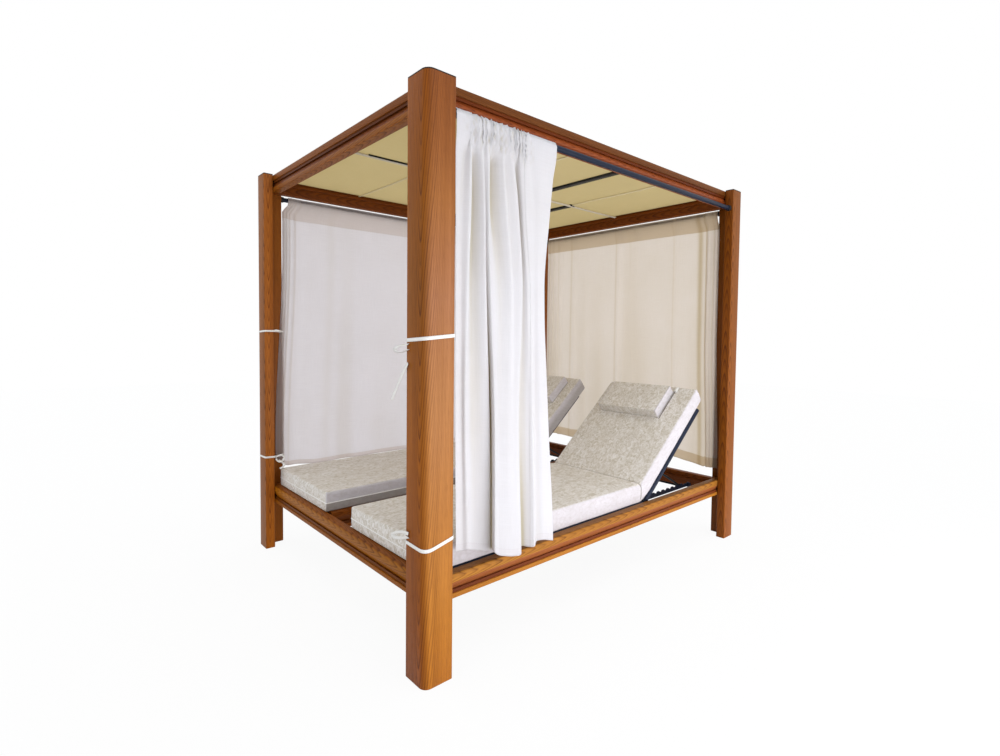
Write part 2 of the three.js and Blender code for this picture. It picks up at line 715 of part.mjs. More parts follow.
function addLounger(name, side) {
  const axisY = side * loungerAxis;
  const outer = side * (bayEdge - pad.inset);
  const inner = outer - side * padWidth;
  const padY = [outer, inner].sort((a, b) => a - b);
  const padMiddle = (outer + inner) / 2;

  const frame = piece(`${name}_seat_frame`, seatFrame(), blueTube);
  frame.position.y = axisY;
  daybed.add(frame);

  const seatLength = seatPadEnd - seatPadStart;
  const seatPad = piece(`${name}_seat_pad`, cushion(seatLength, padWidth, pad.thickness, pad, 10, 6), padCloth);
  seatPad.position.set(seatPadStart + seatLength / 2, padMiddle, padBottom);
  daybed.add(seatPad);
  daybed.add(piece(`${name}_fold_pad`, foldPad([padY[0] + pad.edge, padY[1] - pad.edge]), padCloth));

  const back = new THREE.Group();
  back.position.set(pivotX, 0, pivotHeight);
  back.rotation.y = -backAngle;
  const pin = barAlongY(0, [-loungerHalf, loungerHalf], 0, hinge.rodRadius, 16);
  for (const [part, geometry, material] of [
    ['hinge_rod', pin, blackSteel],
    ['backrest_frame', backrestFrame(), blueTube],
  ]) {
    const mesh = piece(`${name}_${part}`, geometry, material);
    mesh.position.y = axisY;
    back.add(mesh);
  }
  const backLength = padBackEnd - pad.backStart;
  const backPad = piece(`${name}_back_pad`, cushion(backLength, padWidth, pad.thickness, pad, 8, 6), padCloth);
  backPad.position.set(pad.backStart + backLength / 2, padMiddle, backPadLow);
  back.add(backPad);
  const headPillow = piece(`${name}_pillow`,
    cushion(pillow.length, pillowWidth, pillow.thickness, pillow, 4, 6), padCloth);
  headPillow.position.set(
    pillowStart + pillow.length / 2,
    outer - side * (pillow.fromOutside + pillowWidth / 2),
    backPadLow + pad.thickness + gap,
  );
  back.add(headPillow);
  daybed.add(back);

  const strut = piece(`${name}_prop`, propBar(), blackSteel);
  strut.position.set(
    pivotX + prop.attach * Math.cos(backAngle),
    axisY,
    pivotHeight + prop.attach * Math.sin(backAngle),
  );
  strut.rotation.y = propAngle;
  daybed.add(strut);
}

addLounger('near', -1);
addLounger('far', 1);

export default daybed;
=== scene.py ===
import math
import random

import bmesh
import bpy
from mathutils import Matrix, Vector, noise


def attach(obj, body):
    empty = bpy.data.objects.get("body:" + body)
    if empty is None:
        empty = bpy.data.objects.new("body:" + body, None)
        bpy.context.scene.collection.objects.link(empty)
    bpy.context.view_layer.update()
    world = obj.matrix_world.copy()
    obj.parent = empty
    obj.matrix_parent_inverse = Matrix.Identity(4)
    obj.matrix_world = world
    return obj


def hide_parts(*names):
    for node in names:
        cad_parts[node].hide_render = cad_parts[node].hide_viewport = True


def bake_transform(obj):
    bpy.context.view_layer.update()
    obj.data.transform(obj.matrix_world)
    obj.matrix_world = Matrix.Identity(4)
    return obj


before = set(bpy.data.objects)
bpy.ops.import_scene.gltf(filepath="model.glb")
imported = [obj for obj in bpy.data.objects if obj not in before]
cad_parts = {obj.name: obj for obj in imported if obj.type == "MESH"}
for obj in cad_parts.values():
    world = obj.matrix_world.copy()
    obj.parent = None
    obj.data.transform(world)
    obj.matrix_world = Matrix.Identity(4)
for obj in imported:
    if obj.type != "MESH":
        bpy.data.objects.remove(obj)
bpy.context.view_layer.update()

# Sizes in metres. The origin is on the floor under the middle of the bed, +X runs from the foot end to
# the head end and -Y is the near side.
MM = 0.001
BED_X = 1.140  # half length
BED_Y = 0.860  # half width
POST_TOP = 2.0957
POST_FLANGE = 0.120  # width of each leg of the angle
POST_THICK = 0.050
POST_ROUND = 0.030  # radius of the outer corner
CAP_LIFT = 0.0003
CAP_THICK = 0.004
POCKET = 0.0503  # from a post's outer face to the beam in its pocket
BEAM_DEPTH = 0.045
BEAM_HEIGHT = 0.090
LEDGE_DEPTH = 0.013
RAIL_BOTTOM = 0.257
ROOF_BOTTOM = 2.005
HALF_GAP = 0.115  # from the middle of the bed to the grooved face of an inner beam
BAY_END = BED_X - POCKET - BEAM_DEPTH  # the inner faces of the foot and head beams
BAY_EDGE = BED_Y - POCKET - BEAM_DEPTH  # the inner faces of the long beams
FIT = 0.0003  # play between a piece and what it sits in
ROD_Z = 1.990
ROD_RADIUS = 0.0125
ROD_INSET = 0.025  # from the outer faces of the posts
CLOTH_Z = 2.0786  # the roof cloth
BAR_Z = 2.0663  # the underside of the roof bars
BAR_PLACES = (-0.5595, -0.1865, 0.1865, 0.5595)
PIVOT = Vector((0.326, 0.0, 0.3333))  # the hinge of the backrests
BACK_ANGLE = math.radians(40)
PAD_BOTTOM = 0.3486
PAD_THICK = 0.100
BACK_PAD_LOW = 0.0153  # from the hinge's level to the pad, square to the backrest
BACK_PAD_END = 0.768  # from the hinge to the pad's top end
LOUNGER_Y = 0.46235

CORNERS = {
    "foot_near": (-1, -1, 0.0),
    "head_near": (1, -1, math.pi / 2),
    "head_far": (1, 1, math.pi),
    "foot_far": (-1, 1, -math.pi / 2),
}


# Shader helpers
class Nodes:
    """Adds nodes to a tree: a value given for a socket is set, and a socket given for it is linked."""

    def __init__(self, tree):
        self.tree = tree

    def give(self, socket, value):
        if isinstance(value, bpy.types.NodeSocket):
            self.tree.links.new(value, socket)
        else:
            socket.default_value = value

    def add(self, kind, inputs=None, **settings):
        node = self.tree.nodes.new("ShaderNode" + kind)
        for name, value in settings.items():
            setattr(node, name, value)
        for name, value in (inputs or {}).items():
            self.give(node.inputs[name], value)
        return node

    def math(self, operation, a, b=0.0, c=0.0, clamp=False):
        return self.add("Math", {0: a, 1: b, 2: c}, operation=operation, use_clamp=clamp).outputs[0]

    def times(self, a, b, plus=0.0):
        return self.math("MULTIPLY_ADD", a, b, plus)

    def scaled(self, vector, scale):
        return self.add("VectorMath", {0: vector, 1: scale}, operation="MULTIPLY").outputs[0]

    def noise(self, vector, scale, detail=3.0, roughness=0.55, distortion=0.0):
        """Fractal noise. A scale of three numbers sets it for each axis."""
        if isinstance(scale, tuple):
            vector, scale = self.scaled(vector, scale), 1.0
        return self.add("TexNoise", {
            "Vector": vector, "Scale": scale, "Detail": detail, "Roughness": roughness,
            "Distortion": distortion,
        }).outputs["Fac"]

    def ramp(self, value, *stops):
        """A ramp through stops, each a place and a shade of grey."""
        node = self.add("ValToRGB", {"Fac": value})
        elements = node.color_ramp.elements
        while len(elements) < len(stops):
            elements.new(0.5)
        for element, (place, shade) in zip(elements, stops):
            element.position = place
            element.color = grey(shade)
        return node.outputs["Color"]

    def mix(self, amount, a, b, blend="MIX"):
        return self.add("Mix", {0: amount, 6: a, 7: b}, data_type="RGBA", blend_type=blend).outputs[2]

    def tinted(self, colour, tint):
        return self.mix(1.0, colour, tint, "MULTIPLY")

    def effect(self, group, inputs):
        return self.add("Group", inputs, node_tree=group).outputs

    def attribute(self, name, output="Fac"):
        return self.add("Attribute", attribute_name=name).outputs[output]

    def object_place(self):
        return self.add("TexCoord").outputs["Object"]

    def cloth_map(self):
        return self.add("UVMap", uv_map="cloth").outputs["UV"]

    def bump(self, sockets, height, distance, strength=1.0):
        node = self.add("Bump", {"Height": height, "Distance": distance, "Strength": strength})
        self.give(sockets["Normal"], node.outputs["Normal"])


def linear(code):
    """A linear colour from a hex code."""
    channels = [int(code[i:i + 2], 16) / 255 for i in (1, 3, 5)]
    straight = [c / 12.92 if c <= 0.04045 else ((c + 0.055) / 1.055) ** 2.4 for c in channels]
    return (*straight, 1.0)


def grey(value):
    return (value, value, value, 1.0)


def effect(name, inputs, outputs):
    """An empty node group, and what fills it: a Nodes helper, the given sockets and the result's sockets. A
    socket is named by its label, its kind and perhaps its value."""
    group = bpy.data.node_groups.new(name, "ShaderNodeTree")
    for label, kind, *value in inputs:
        socket = group.interface.new_socket(label, in_out="INPUT", socket_type="NodeSocket" + kind)
        if value:
            socket.default_value = value[0]
    for label, kind in outputs:
        group.interface.new_socket(label, in_out="OUTPUT", socket_type="NodeSocket" + kind)
    given = group.nodes.new("NodeGroupInput")
    result = group.nodes.new("NodeGroupOutput")
    return group, Nodes(group), given.outputs, result.inputs


def wood_figure_effect():
    """Rings, fibres and pores of a board. The vector is in metres, with x along the grain and the heart of the
    log on the x axis."""
    group, g, given, result = effect(
        "wood figure",
        [("Vector", "Vector"), ("Ring Pitch", "Float"), ("Taper", "Float", 0.11), ("Light", "Color"),
         ("Middle", "Color"), ("Dark", "Color")],
        [("Color", "Color"), ("Roughness", "Float"), ("Height", "Float")],
    )
    vector = given["Vector"]
    sway = g.noise(vector, (1.1, 6.0, 6.0), 2.0)
    ripple = g.noise(vector, (5.0, 40.0, 40.0), 2.0)
    place = g.add("SeparateXYZ", {"Vector": vector}).outputs
    across = g.scaled(vector, (0.0, 1.0, 1.0))
    radius = g.add("VectorMath", {0: across}, operation="LENGTH").outputs["Value"]
    warped = g.times(ripple, 0.0014, g.times(sway, 0.013, g.times(place["X"], given["Taper"], radius)))
    rings = g.math("DIVIDE", warped, given["Ring Pitch"])
    growth = g.math("FRACT", rings)
    strength = g.add("TexWhiteNoise", {"W": g.math("FLOOR", rings)}, noise_dimensions="1D").outputs["Value"]
    late = g.ramp(growth, (0.0, 0.25), (0.10, 0.0), (0.42, 0.06), (0.74, 0.50), (0.88, 1.0), (1.0, 0.25))
    late = g.times(late, g.times(strength, 0.60, 0.40))
    late = g.times(late, g.ramp(radius, (0.030, 1.0), (0.085, 0.40)))
    fibre = g.noise(vector, (5.0, 420.0, 420.0), 3.0, 0.6)
    streak = g.noise(vector, (0.8, 34.0, 34.0), 3.0, 0.6)
    patch = g.noise(vector, (1.6, 9.0, 9.0), 2.0)
    pore = g.ramp(g.noise(vector, (30.0, 900.0, 900.0), 1.0), (0.60, 0.0), (0.70, 1.0))
    body = g.mix(g.ramp(streak, (0.32, 0.15), (0.68, 0.95)), given["Middle"], given["Light"])
    body = g.mix(g.ramp(patch, (0.35, 0.30), (0.65, 0.0)), body, given["Middle"])
    for mask in (g.times(late, 0.85), g.ramp(fibre, (0.30, 0.30), (0.62, 0.0)), g.times(pore, 0.40)):
        body = g.mix(mask, body, given["Dark"])
    g.give(result["Color"], body)
    g.give(result["Roughness"], g.times(pore, 0.12, g.times(late, 0.10, 0.42)))
    g.give(result["Height"], g.times(pore, -0.50, g.times(fibre, 0.45, g.times(late, 0.30))))
    return group


def weave_effect():
    """Plain weave with uneven threads. The vector is in metres over the cloth."""
    group, g, given, result = effect(
        "plain weave",
        [("Vector", "Vector"), ("Thread", "Float"), ("Slub", "Float")],
        [("Tone", "Float"), ("Height", "Float")],
    )
    place = g.add("SeparateXYZ", {"Vector": given["Vector"]}).outputs
    turn = g.math("DIVIDE", 2 * math.pi, given["Thread"])
    cross = g.times(*(g.math("SINE", g.times(place[axis], turn)) for axis in "XY"))
    slub_warp = g.noise(given["Vector"], (420.0, 9.0, 9.0), 3.0, 0.6)
    slub_weft = g.noise(given["Vector"], (9.0, 420.0, 9.0), 3.0, 0.6)
    slub = g.math("SUBTRACT", g.math("ADD", slub_warp, slub_weft), 1.0)
    g.give(result["Tone"], g.times(cross, 0.06, g.times(slub, given["Slub"], 0.5)))
    g.give(result["Height"], g.times(cross, 0.5, g.times(slub, 0.9)))
    return group


def grime_effect():
    """Faint soil and fading that varies slowly over a piece."""
    group, g, given, result = effect(
        "faint soil",
        [("Vector", "Vector"), ("Color", "Color"), ("Soil", "Color", linear("#8A7F68")), ("Amount", "Float")],
        [("Color", "Color")],
    )
    mask = g.ramp(g.noise(given["Vector"], 3.2, 4.0, 0.6), (0.42, 0.0), (0.72, 1.0))
    g.give(result["Color"], g.mix(g.times(mask, given["Amount"]), given["Color"], given["Soil"]))
    return group


def sewn_bands_effect():
    """The doubled cloth of a hem and a rod pocket, and the stitches along their edges. The vector's y is the
    distance in metres from the bottom edge."""
    group, g, given, result = effect(
        "sewn bands",
        [("Vector", "Vector"), ("Hem", "Float"), ("Pocket", "Float")],
        [("Band", "Float"), ("Stitch", "Float"), ("Height", "Float")],
    )
    place = g.add("SeparateXYZ", {"Vector": given["Vector"]}).outputs
    below = g.math("LESS_THAN", place["Y"], given["Hem"])
    above = g.math("GREATER_THAN", place["Y"], given["Pocket"])
    band = g.math("MAXIMUM", below, above)
    inset = 0.0025
    from_hem = g.math("ABSOLUTE", g.math("SUBTRACT", place["Y"], g.math("SUBTRACT", given["Hem"], inset)))
    from_pocket = g.math("ABSOLUTE", g.math("SUBTRACT", place["Y"], g.math("ADD", given["Pocket"], inset)))
    nearest = g.math("MINIMUM", from_hem, from_pocket)
    line = g.math("SUBTRACT", 1.0, g.math("DIVIDE", nearest, 0.0022), clamp=True)
    stitch_length = 0.0052
    dash = g.math("GREATER_THAN", g.math("SINE", g.times(place["X"], 2 * math.pi / stitch_length)), -0.35)
    g.give(result["Band"], band)
    g.give(result["Stitch"], g.times(line, dash))
    g.give(result["Height"], g.times(line, -0.8, g.times(band, 0.5)))
    return group


WOOD_FIGURE = wood_figure_effect()
SEWN_BANDS = sewn_bands_effect()
WEAVE = weave_effect()
GRIME = grime_effect()


def new_finish(name, **settings):
    """A material, its Nodes helper and the sockets of its Principled shader, which take the settings."""
    finish = bpy.data.materials.new(name)
    finish.use_nodes = True
    g = Nodes(finish.node_tree)
    shader = finish.node_tree.nodes["Principled BSDF"]
    for label, value in settings.items():
        shader.inputs[label.replace("_", " ")].default_value = value
    return finish, g, shader.inputs


def wood_finish(name, light, middle, dark, pitch):
    finish, g, sockets = new_finish(name, Coat_Weight=0.03, Coat_Roughness=0.25, Specular_IOR_Level=0.09)
    figure = g.effect(WOOD_FIGURE, {
        "Vector": g.attribute("grain", "Vector"), "Ring Pitch": pitch,
        "Light": linear(light), "Middle": linear(middle), "Dark": linear(dark),
    })
    # The figure's colour is multiplied by the piece's painted light and shade tint.
    g.give(sockets["Base Color"], g.tinted(figure["Color"], g.attribute("painted_light_tint", "Color")))
    g.give(sockets["Roughness"], figure["Roughness"])
    g.bump(sockets, figure["Height"], 0.0004, 0.5)
    return finish


def woven_finish(name, colour, shade, thread, slub, soil, through=0.0, glow="#FFFFFF", sewn=None,
                 painted_hollow_shade="#FFFFFF"):
    """Plain woven cloth. It reads the piece's own map, which is in metres. Thin cloth lets light through.
    sewn gives the heights of its hem seam and pocket seam, and the tone of the doubled cloth there. The last
    colour, which the fold attribute lays on, is painted shade at the bottom of its folds."""
    finish, g, sockets = new_finish(name, Roughness=0.92, Sheen_Weight=0.1, Sheen_Roughness=0.5,
                                    Specular_IOR_Level=0.2)
    cloth = g.cloth_map()
    weave = g.effect(WEAVE, {"Vector": cloth, "Thread": thread, "Slub": slub})
    tone = g.mix(g.ramp(weave["Tone"], (0.30, 0.0), (0.70, 1.0)), linear(shade), linear(colour))
    tone = g.effect(GRIME, {"Vector": g.object_place(), "Color": tone, "Soil": linear(soil),
                            "Amount": 0.10})["Color"]
    height = weave["Height"]
    if sewn:
        hem, pocket, doubled = sewn
        bands = g.effect(SEWN_BANDS, {"Vector": cloth, "Hem": hem, "Pocket": pocket})
        tone = g.mix(bands["Band"], tone, g.tinted(tone, linear(doubled)))
        tone = g.mix(g.times(bands["Stitch"], 0.12), tone, linear("#8F8678"))
        # Painted shade in the folds, by the fold attribute.
        tone = g.mix(g.attribute("fold"), tone, g.tinted(tone, linear(painted_hollow_shade)))
        height = g.times(bands["Height"], 0.8, height)
    g.give(sockets["Base Color"], tone)
    g.bump(sockets, height, 0.0004, 0.5)
    if through:
        lit = g.add("BsdfTranslucent", {"Color": g.tinted(tone, linear(glow))})
        cloth_shader = g.tree.nodes["Principled BSDF"].outputs["BSDF"]
        both = g.add("MixShader", {0: through, 1: cloth_shader, 2: lit.outputs["BSDF"]})
        g.give(g.tree.nodes["Material Output"].inputs["Surface"], both.outputs["Shader"])
    return finish


def heather_finish(name, light, dark, fleck, wall_shade):
    """Mottled upholstery cloth, with painted shade laid on by the seam attribute, and a painted darker,
    lavender tone on its side walls that also evens out its figure there.
    """
    finish, g, sockets = new_finish(name, Roughness=0.88, Sheen_Weight=0.12, Sheen_Roughness=0.5,
                                    Specular_IOR_Level=0.25)
    place = g.object_place()
    weave = g.effect(WEAVE, {"Vector": g.cloth_map(), "Thread": 0.0011, "Slub": 0.35})
    worm = g.noise(place, (30.0, 52.0, 52.0), 4.0, 0.58, 1.4)
    base = g.mix(g.ramp(worm, (0.36, 0.0), (0.50, 0.55), (0.64, 1.0)), linear(dark), linear(light))
    cloud = g.noise(place, (5.0, 17.0, 17.0))
    base = g.mix(g.ramp(cloud, (0.38, 0.22), (0.62, 0.0)), base, linear(dark))
    base = g.mix(g.ramp(weave["Tone"], (0.36, 0.16), (0.60, 0.0)), base, linear(fleck))
    # Painted shade on the side walls.
    base = g.mix(g.times(g.attribute("side_wall"), 0.72), base, linear(wall_shade))
    # Painted shade: a dark line in the crease at the fold, low on the far pad's near wall, and under each
    # pillow.
    base = g.mix(g.attribute("seam"), base, linear("#6E6446"))
    g.give(sockets["Base Color"], g.effect(GRIME, {"Vector": place, "Color": base, "Amount": 0.06})["Color"])
    g.bump(sockets, weave["Height"], 0.0003, 0.5)
    return finish


def coated_finish(name, colour, worn, roughness, metallic=0.0, shine=0.3):
    """Powder coat or moulded plastic: a fine orange peel and a little wear."""
    finish, g, sockets = new_finish(name, Metallic=metallic, Specular_IOR_Level=shine)
    place = g.object_place()
    mask = g.ramp(g.noise(place, 9.0, 4.0, 0.6), (0.45, 0.0), (0.75, 0.5))
    g.give(sockets["Base Color"], g.mix(mask, linear(colour), linear(worn)))
    g.give(sockets["Roughness"], g.times(g.noise(place, 160.0, 2.0, 0.5), 0.18, roughness - 0.09))
    g.bump(sockets, g.noise(place, 700.0, 2.0, 0.5), 0.0002, 0.35)
    return finish


def zinc_finish(name):
    finish, g, sockets = new_finish(name, Metallic=0.85)
    place = g.object_place()
    spangle = g.add("TexVoronoi", {"Vector": place, "Scale": 90.0}).outputs["Color"]
    g.give(sockets["Base Color"], g.mix(g.times(spangle, 0.6), linear("#7E8184"), linear("#A9ADB0")))
    g.give(sockets["Roughness"], g.times(g.noise(place, 40.0), 0.25, 0.30))
    return finish


FINISHES = {
    "wood": wood_finish("oiled hardwood", "#A8601A", "#8C4C10", "#4A1E06", 0.0068),
    "cap": coated_finish("cap plastic", "#2A2220", "#3A312C", 0.55),
    "galvanised": zinc_finish("galvanised steel"),
    "black_bar": coated_finish("black bar", "#15161A", "#24272B", 0.45, 0.2),
    "blue_tube": coated_finish("slate powder coat", "#151D30", "#202A40", 0.45, shine=0.20),
    "black_steel": coated_finish("black steel", "#0C0F10", "#15181A", 0.50, shine=0.12),
    "socket": coated_finish("socket plastic", "#14161A", "#24272B", 0.5),
    "roof_cloth": woven_finish("roof cloth", "#DED3B2", "#D4C8A2", 0.0016, 0.35, "#C0B48E", 0.72),
    # The last colour of each curtain linen is the painted shade at the bottom of its folds.
    "curtain_cloth": woven_finish("curtain linen", "#F4F4FB", "#ECECF2", 0.0013, 0.5, "#DDD8D2", 0.42,
                                  "#FDF9EC", (0.045, 9.0, "#FDFCFC"), "#D6CA9E"),
    "tape": woven_finish("cotton tape", "#F7F6F4", "#E8E5E0", 0.0011, 0.3, "#D8D2C4"),
    "pad_cloth": heather_finish("mottled pad cloth", "#F0ECE9", "#C4BAA9", "#F6F6F6", "#C9C4CC"),
}
# The far and head curtains are lit and shaded copies of the near curtain's linen: their tones, and the larger
# share of light they let through, stand in for the light that falls on each.
FAR_CLOTH = woven_finish("far curtain linen", "#F3F1F3", "#EAE7E9", 0.0013, 0.5, "#D8D4D0", 0.86,
                         sewn=(0.040, 1.508, "#F6F2EE"), painted_hollow_shade="#D8CDAE")
HEAD_CLOTH = woven_finish("head curtain linen", "#F6F1EC", "#EEE8E1", 0.0013, 0.5, "#E0D8C4", 0.86,
                          sewn=(0.092, 1.536, "#EFE8DC"), painted_hollow_shade="#D2C49A")
SLEEVE = coated_finish("bar sleeve", "#D9CDAC", "#CDC09C", 0.9)
GREY_SLEEVE = coated_finish("centre bar sleeve", "#C8C0B0", "#B4AC9C", 0.85)
ELASTIC = coated_finish("grey elastic", "#7C7470", "#6A6360", 0.8)


# Mesh helpers
def new_object(name, data):
    made = bpy.data.objects.new(name, data)
    bpy.context.scene.collection.objects.link(made)
    return made


def finished_piece(name, shape, slot, body="root", replaces=(), smooth=40, finish=None):
    """Turns a bmesh into a piece that rides on its body."""
    mesh = bpy.data.meshes.new(name)
    shape.to_mesh(mesh)
    shape.free()
    mesh.shade_smooth()
    if smooth:
        mesh.set_sharp_from_angle(angle=math.radians(smooth))
    piece = new_object(name, mesh)
    mesh.materials.append(finish or FINISHES[slot])
    if body:
        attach(piece, body)
    if replaces:
        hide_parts(*replaces)
    return piece


def outline_face(shape, points, segments=6):
    """One face from [across, up, radius] points, with its corners rounded."""
    corners = [shape.verts.new((x, y, 0.0)) for x, y, _ in points]
    shape.faces.new(corners)
    for radius in sorted({r for *_, r in points if r > 0}):
        chosen = [v for v, (*_, r) in zip(corners, points) if r == radius]
        bmesh.ops.bevel(shape, geom=chosen, offset=radius, offset_type="OFFSET", affect="VERTICES",
                        segments=segments if radius > 0.01 else 3, profile=0.5, material=-1)
    return shape.faces[:]


def softened(shape, edges, width):
    """Bevels edges in two steps."""
    bmesh.ops.bevel(shape, geom=edges, offset=width, offset_type="OFFSET", affect="EDGES", segments=2,
                    profile=0.5, material=-1)


def soften_rims(shape, height, width):
    """Softens the rims of a solid that stands between z = 0 and height."""
    softened(shape, [e for e in shape.edges if any(
        all(abs(v.co.z - level) < 1e-7 for v in e.verts) for level in (0.0, height))], width)


def raised(shape, faces, height, edge=0.0):
    """Extrudes faces up from z = 0 and softens the rims of both ends."""
    made = bmesh.ops.extrude_face_region(shape, geom=faces)
    tops = [item for item in made["geom"] if isinstance(item, bmesh.types.BMVert)]
    bmesh.ops.translate(shape, verts=tops, vec=(0, 0, height))
    bmesh.ops.recalc_face_normals(shape, faces=shape.faces[:])
    if edge:
        soften_rims(shape, height, edge)


def merged(shape, other, matrix=None):
    """Moves the faces of other into shape."""
    if matrix:
        other.transform(matrix)
    spare = bpy.data.meshes.new("spare")
    other.to_mesh(spare)
    other.free()
    shape.from_mesh(spare)
    bpy.data.meshes.remove(spare)


def round_bar(shape, radius, length, segments=32, edge=0.0008):
    """A closed round bar along z from 0, with softened ends."""
    bmesh.ops.create_cone(shape, cap_ends=True, cap_tris=False, segments=segments, radius1=radius,
                          radius2=radius, depth=length, matrix=Matrix.Translation((0, 0, length / 2)))
    soften_rims(shape, length, edge)


def rod_between(shape, start, end, radius, segments=32, edge=0.0015):
    """A round bar with softened ends from start to end."""
    reach = Vector(end) - Vector(start)
    bar = bmesh.new()
    round_bar(bar, radius, reach.length, segments, edge)
    merged(shape, bar, Matrix.Translation(start) @ reach.to_track_quat("Z", "Y").to_matrix().to_4x4())


def soft_box(shape, low, high, edge=0.0008):
    """A box between two corners with softened edges."""
    low, high = Vector(low), Vector(high)
    box = bmesh.new()
    bmesh.ops.create_cube(box, size=1.0)
    box.transform(Matrix.Translation((low + high) / 2) @ Matrix.Diagonal((*(high - low), 1.0)))
    softened(box, box.edges[:], edge)
    merged(shape, box)


def tube_along(shape, path, radius, sides=12):
    """A closed round tube along points."""
    rings = []
    normal = None
    for index, point in enumerate(path):
        ahead = path[min(index + 1, len(path) - 1)] - path[max(index - 1, 0)]
        ahead.normalize()
        if normal is None:
            normal = ahead.orthogonal().normalized()
        normal = (normal - ahead * normal.dot(ahead)).normalized()
        other = ahead.cross(normal)
        turns = [2 * math.pi * k / sides for k in range(sides)]
        rings.append([shape.verts.new(point + (normal * math.cos(turn) + other * math.sin(turn)) * radius)
                      for turn in turns])
    for low, high in zip(rings, rings[1:]):
        for k in range(sides):
            shape.faces.new((low[k], low[(k + 1) % sides], high[(k + 1) % sides], high[k]))
    shape.faces.new(rings[0][::-1])
    shape.faces.new(rings[-1])
    bmesh.ops.recalc_face_normals(shape, faces=shape.faces[:])


def lay_grain(shape, along, heart, seed, tones, grows=1, size=1.0, narrow=1.0, slow=1.0):
    """Writes each vertex's place in its board: along the grain, and across it from the heart of the log. tones
    gives a face's tint of painted light and shade at a height, size shrinks the figure, narrow squeezes it
    across the grain, and slow is how fast it goes on past the heart."""
    layer = shape.verts.layers.float_vector.new("grain")
    others = [axis for axis in range(3) if axis != along]
    for vertex in shape.verts:
        place = vertex.co
        past = place[others[1]] - heart[1]
        past *= slow if past > 0 else 1.0
        beside = place[others[0]] - heart[0]
        vertex[layer] = (size * grows * place[along] + seed, size * narrow * beside, size * narrow * past)
    tint = shape.loops.layers.float_vector.new("painted_light_tint")
    for face in shape.faces:
        for loop in face.loops:
            loop[tint] = tones(face, loop.vert.co[along])


def angle_points(off=0.0):
    edge, flange, thick = 0.004, POST_FLANGE + off, POST_THICK + off
    return [
        (-off, -off, POST_ROUND + off), (flange, -off, edge), (flange, thick, edge), (thick, thick, 0.0),
        (thick, flange, edge), (-off, flange, edge),
    ]


def corner_matrix(corner):
    x, y, turn = CORNERS[corner]
    return Matrix.Translation((x * BED_X, y * BED_Y, 0)) @ Matrix.Rotation(turn, 4, "Z")


# Each post's heart from its outer corner, the way its figure grows, how narrow it is, how fast it goes on past
# the heart, and the tints of its faces across x and across y: (height, tint) from the floor up. The tints are
# painted light and shade, with a painted pinkish sheen on the front post's near side.
POST_BOARDS = {
    "foot_near": ((0.013, 0.033), -1, 1.75, 0.75, (
        (0.0, (0.90, 0.75, 0.13)), (0.45, (0.98, 0.90, 0.16)), (0.82, (1.14, 1.12, 0.22)),
        (1.05, (1.02, 1.02, 0.34)), (1.35, (0.90, 0.94, 0.43)), (1.68, (0.96, 0.98, 0.34)),
        (2.1, (0.98, 0.88, 0.15)),
    ), (
        (0.0, (1.38, 1.62, 1.8)), (0.30, (1.44, 1.86, 3.2)), (0.65, (1.36, 1.84, 5.0)),
        (1.0, (1.33, 1.90, 7.0)), (1.34, (1.25, 1.82, 9.5)), (1.50, (1.20, 1.65, 7.4)),
        (1.68, (1.14, 1.48, 5.0)), (1.85, (0.93, 1.09, 3.4)), (2.1, (0.76, 0.74, 1.5)),
    )),
    "head_near": ((0.024, 0.100), 1, 1.35, 1.0, ((0.0, (0.98, 0.97, 1.10)), (2.1, (0.86, 0.94, 1.6))),
                  ((0.0, (0.72, 0.68, 0.62)),)),
    "head_far": ((0.013, 0.040), 1, 1.3, 1.0, ((0.0, (0.75, 0.70, 0.80)),), ((0.0, (0.75, 0.70, 0.80)),)),
    "foot_far": ((0.110, 0.022), -1, 1.6, 1.0, ((0.0, (1.46, 1.42, 1.0)), (0.7, (1.28, 1.38, 2.7))),
                 ((0.0, (0.92, 1.02, 1.55)),)),
}
INNER_FACE = 0.72  # painted shade: how much darker the inner faces of a post are


def tint_at(keys, height):
    for (low, tint), (high, other) in zip(keys, keys[1:]):
        if height <= high:
            return Vector(tint).lerp(Vector(other), max(height - low, 0.0) / (high - low))
    return Vector(keys[-1][1])


def post_tint(boards, face, height):
    # The tint is painted light and shade: it blends the tints of the faces across x and across y, and paints
    # shade on the inner faces.
    share = face.normal.y ** 2 / max(face.normal.x ** 2 + face.normal.y ** 2, 1e-6)
    middle = face.calc_center_median()
    inner_shade = INNER_FACE if min(middle.x, middle.y) > 0.9 * POST_THICK else 1.0
    return tint_at(boards[4], height).lerp(tint_at(boards[5], height), share) * inner_shade


def add_posts():
    for index, (corner, boards) in enumerate(POST_BOARDS.items()):
        shape = bmesh.new()
        raised(shape, outline_face(shape, angle_points(), 10), POST_TOP, 0.0012)
        # The post is cut at the heights of its painted light tints.
        heights = {height for keys in boards[4:] for height, _ in keys}
        for height in sorted(h for h in heights if 0.0 < h < POST_TOP):
            bmesh.ops.bisect_plane(shape, geom=shape.verts[:] + shape.edges[:] + shape.faces[:],
                                   plane_co=(0, 0, height), plane_no=(0, 0, 1))
        lay_grain(shape, 2, boards[0], 3.7 * index, lambda face, height: post_tint(boards, face, height),
                  boards[1], 0.75, boards[2], boards[3])
        shape.transform(corner_matrix(corner))
        finished_piece(f"corner_post_{corner}", shape, "wood", replaces=[f"post_{corner}"])
        lid = bmesh.new()
        raised(lid, outline_face(lid, angle_points(), 10), CAP_THICK, 0.0012)
        lid.transform(corner_matrix(corner) @ Matrix.Translation((0, 0, POST_TOP + CAP_LIFT)))
        finished_piece(f"corner_cap_{corner}", lid, "cap", replaces=[f"post_cap_{corner}"])


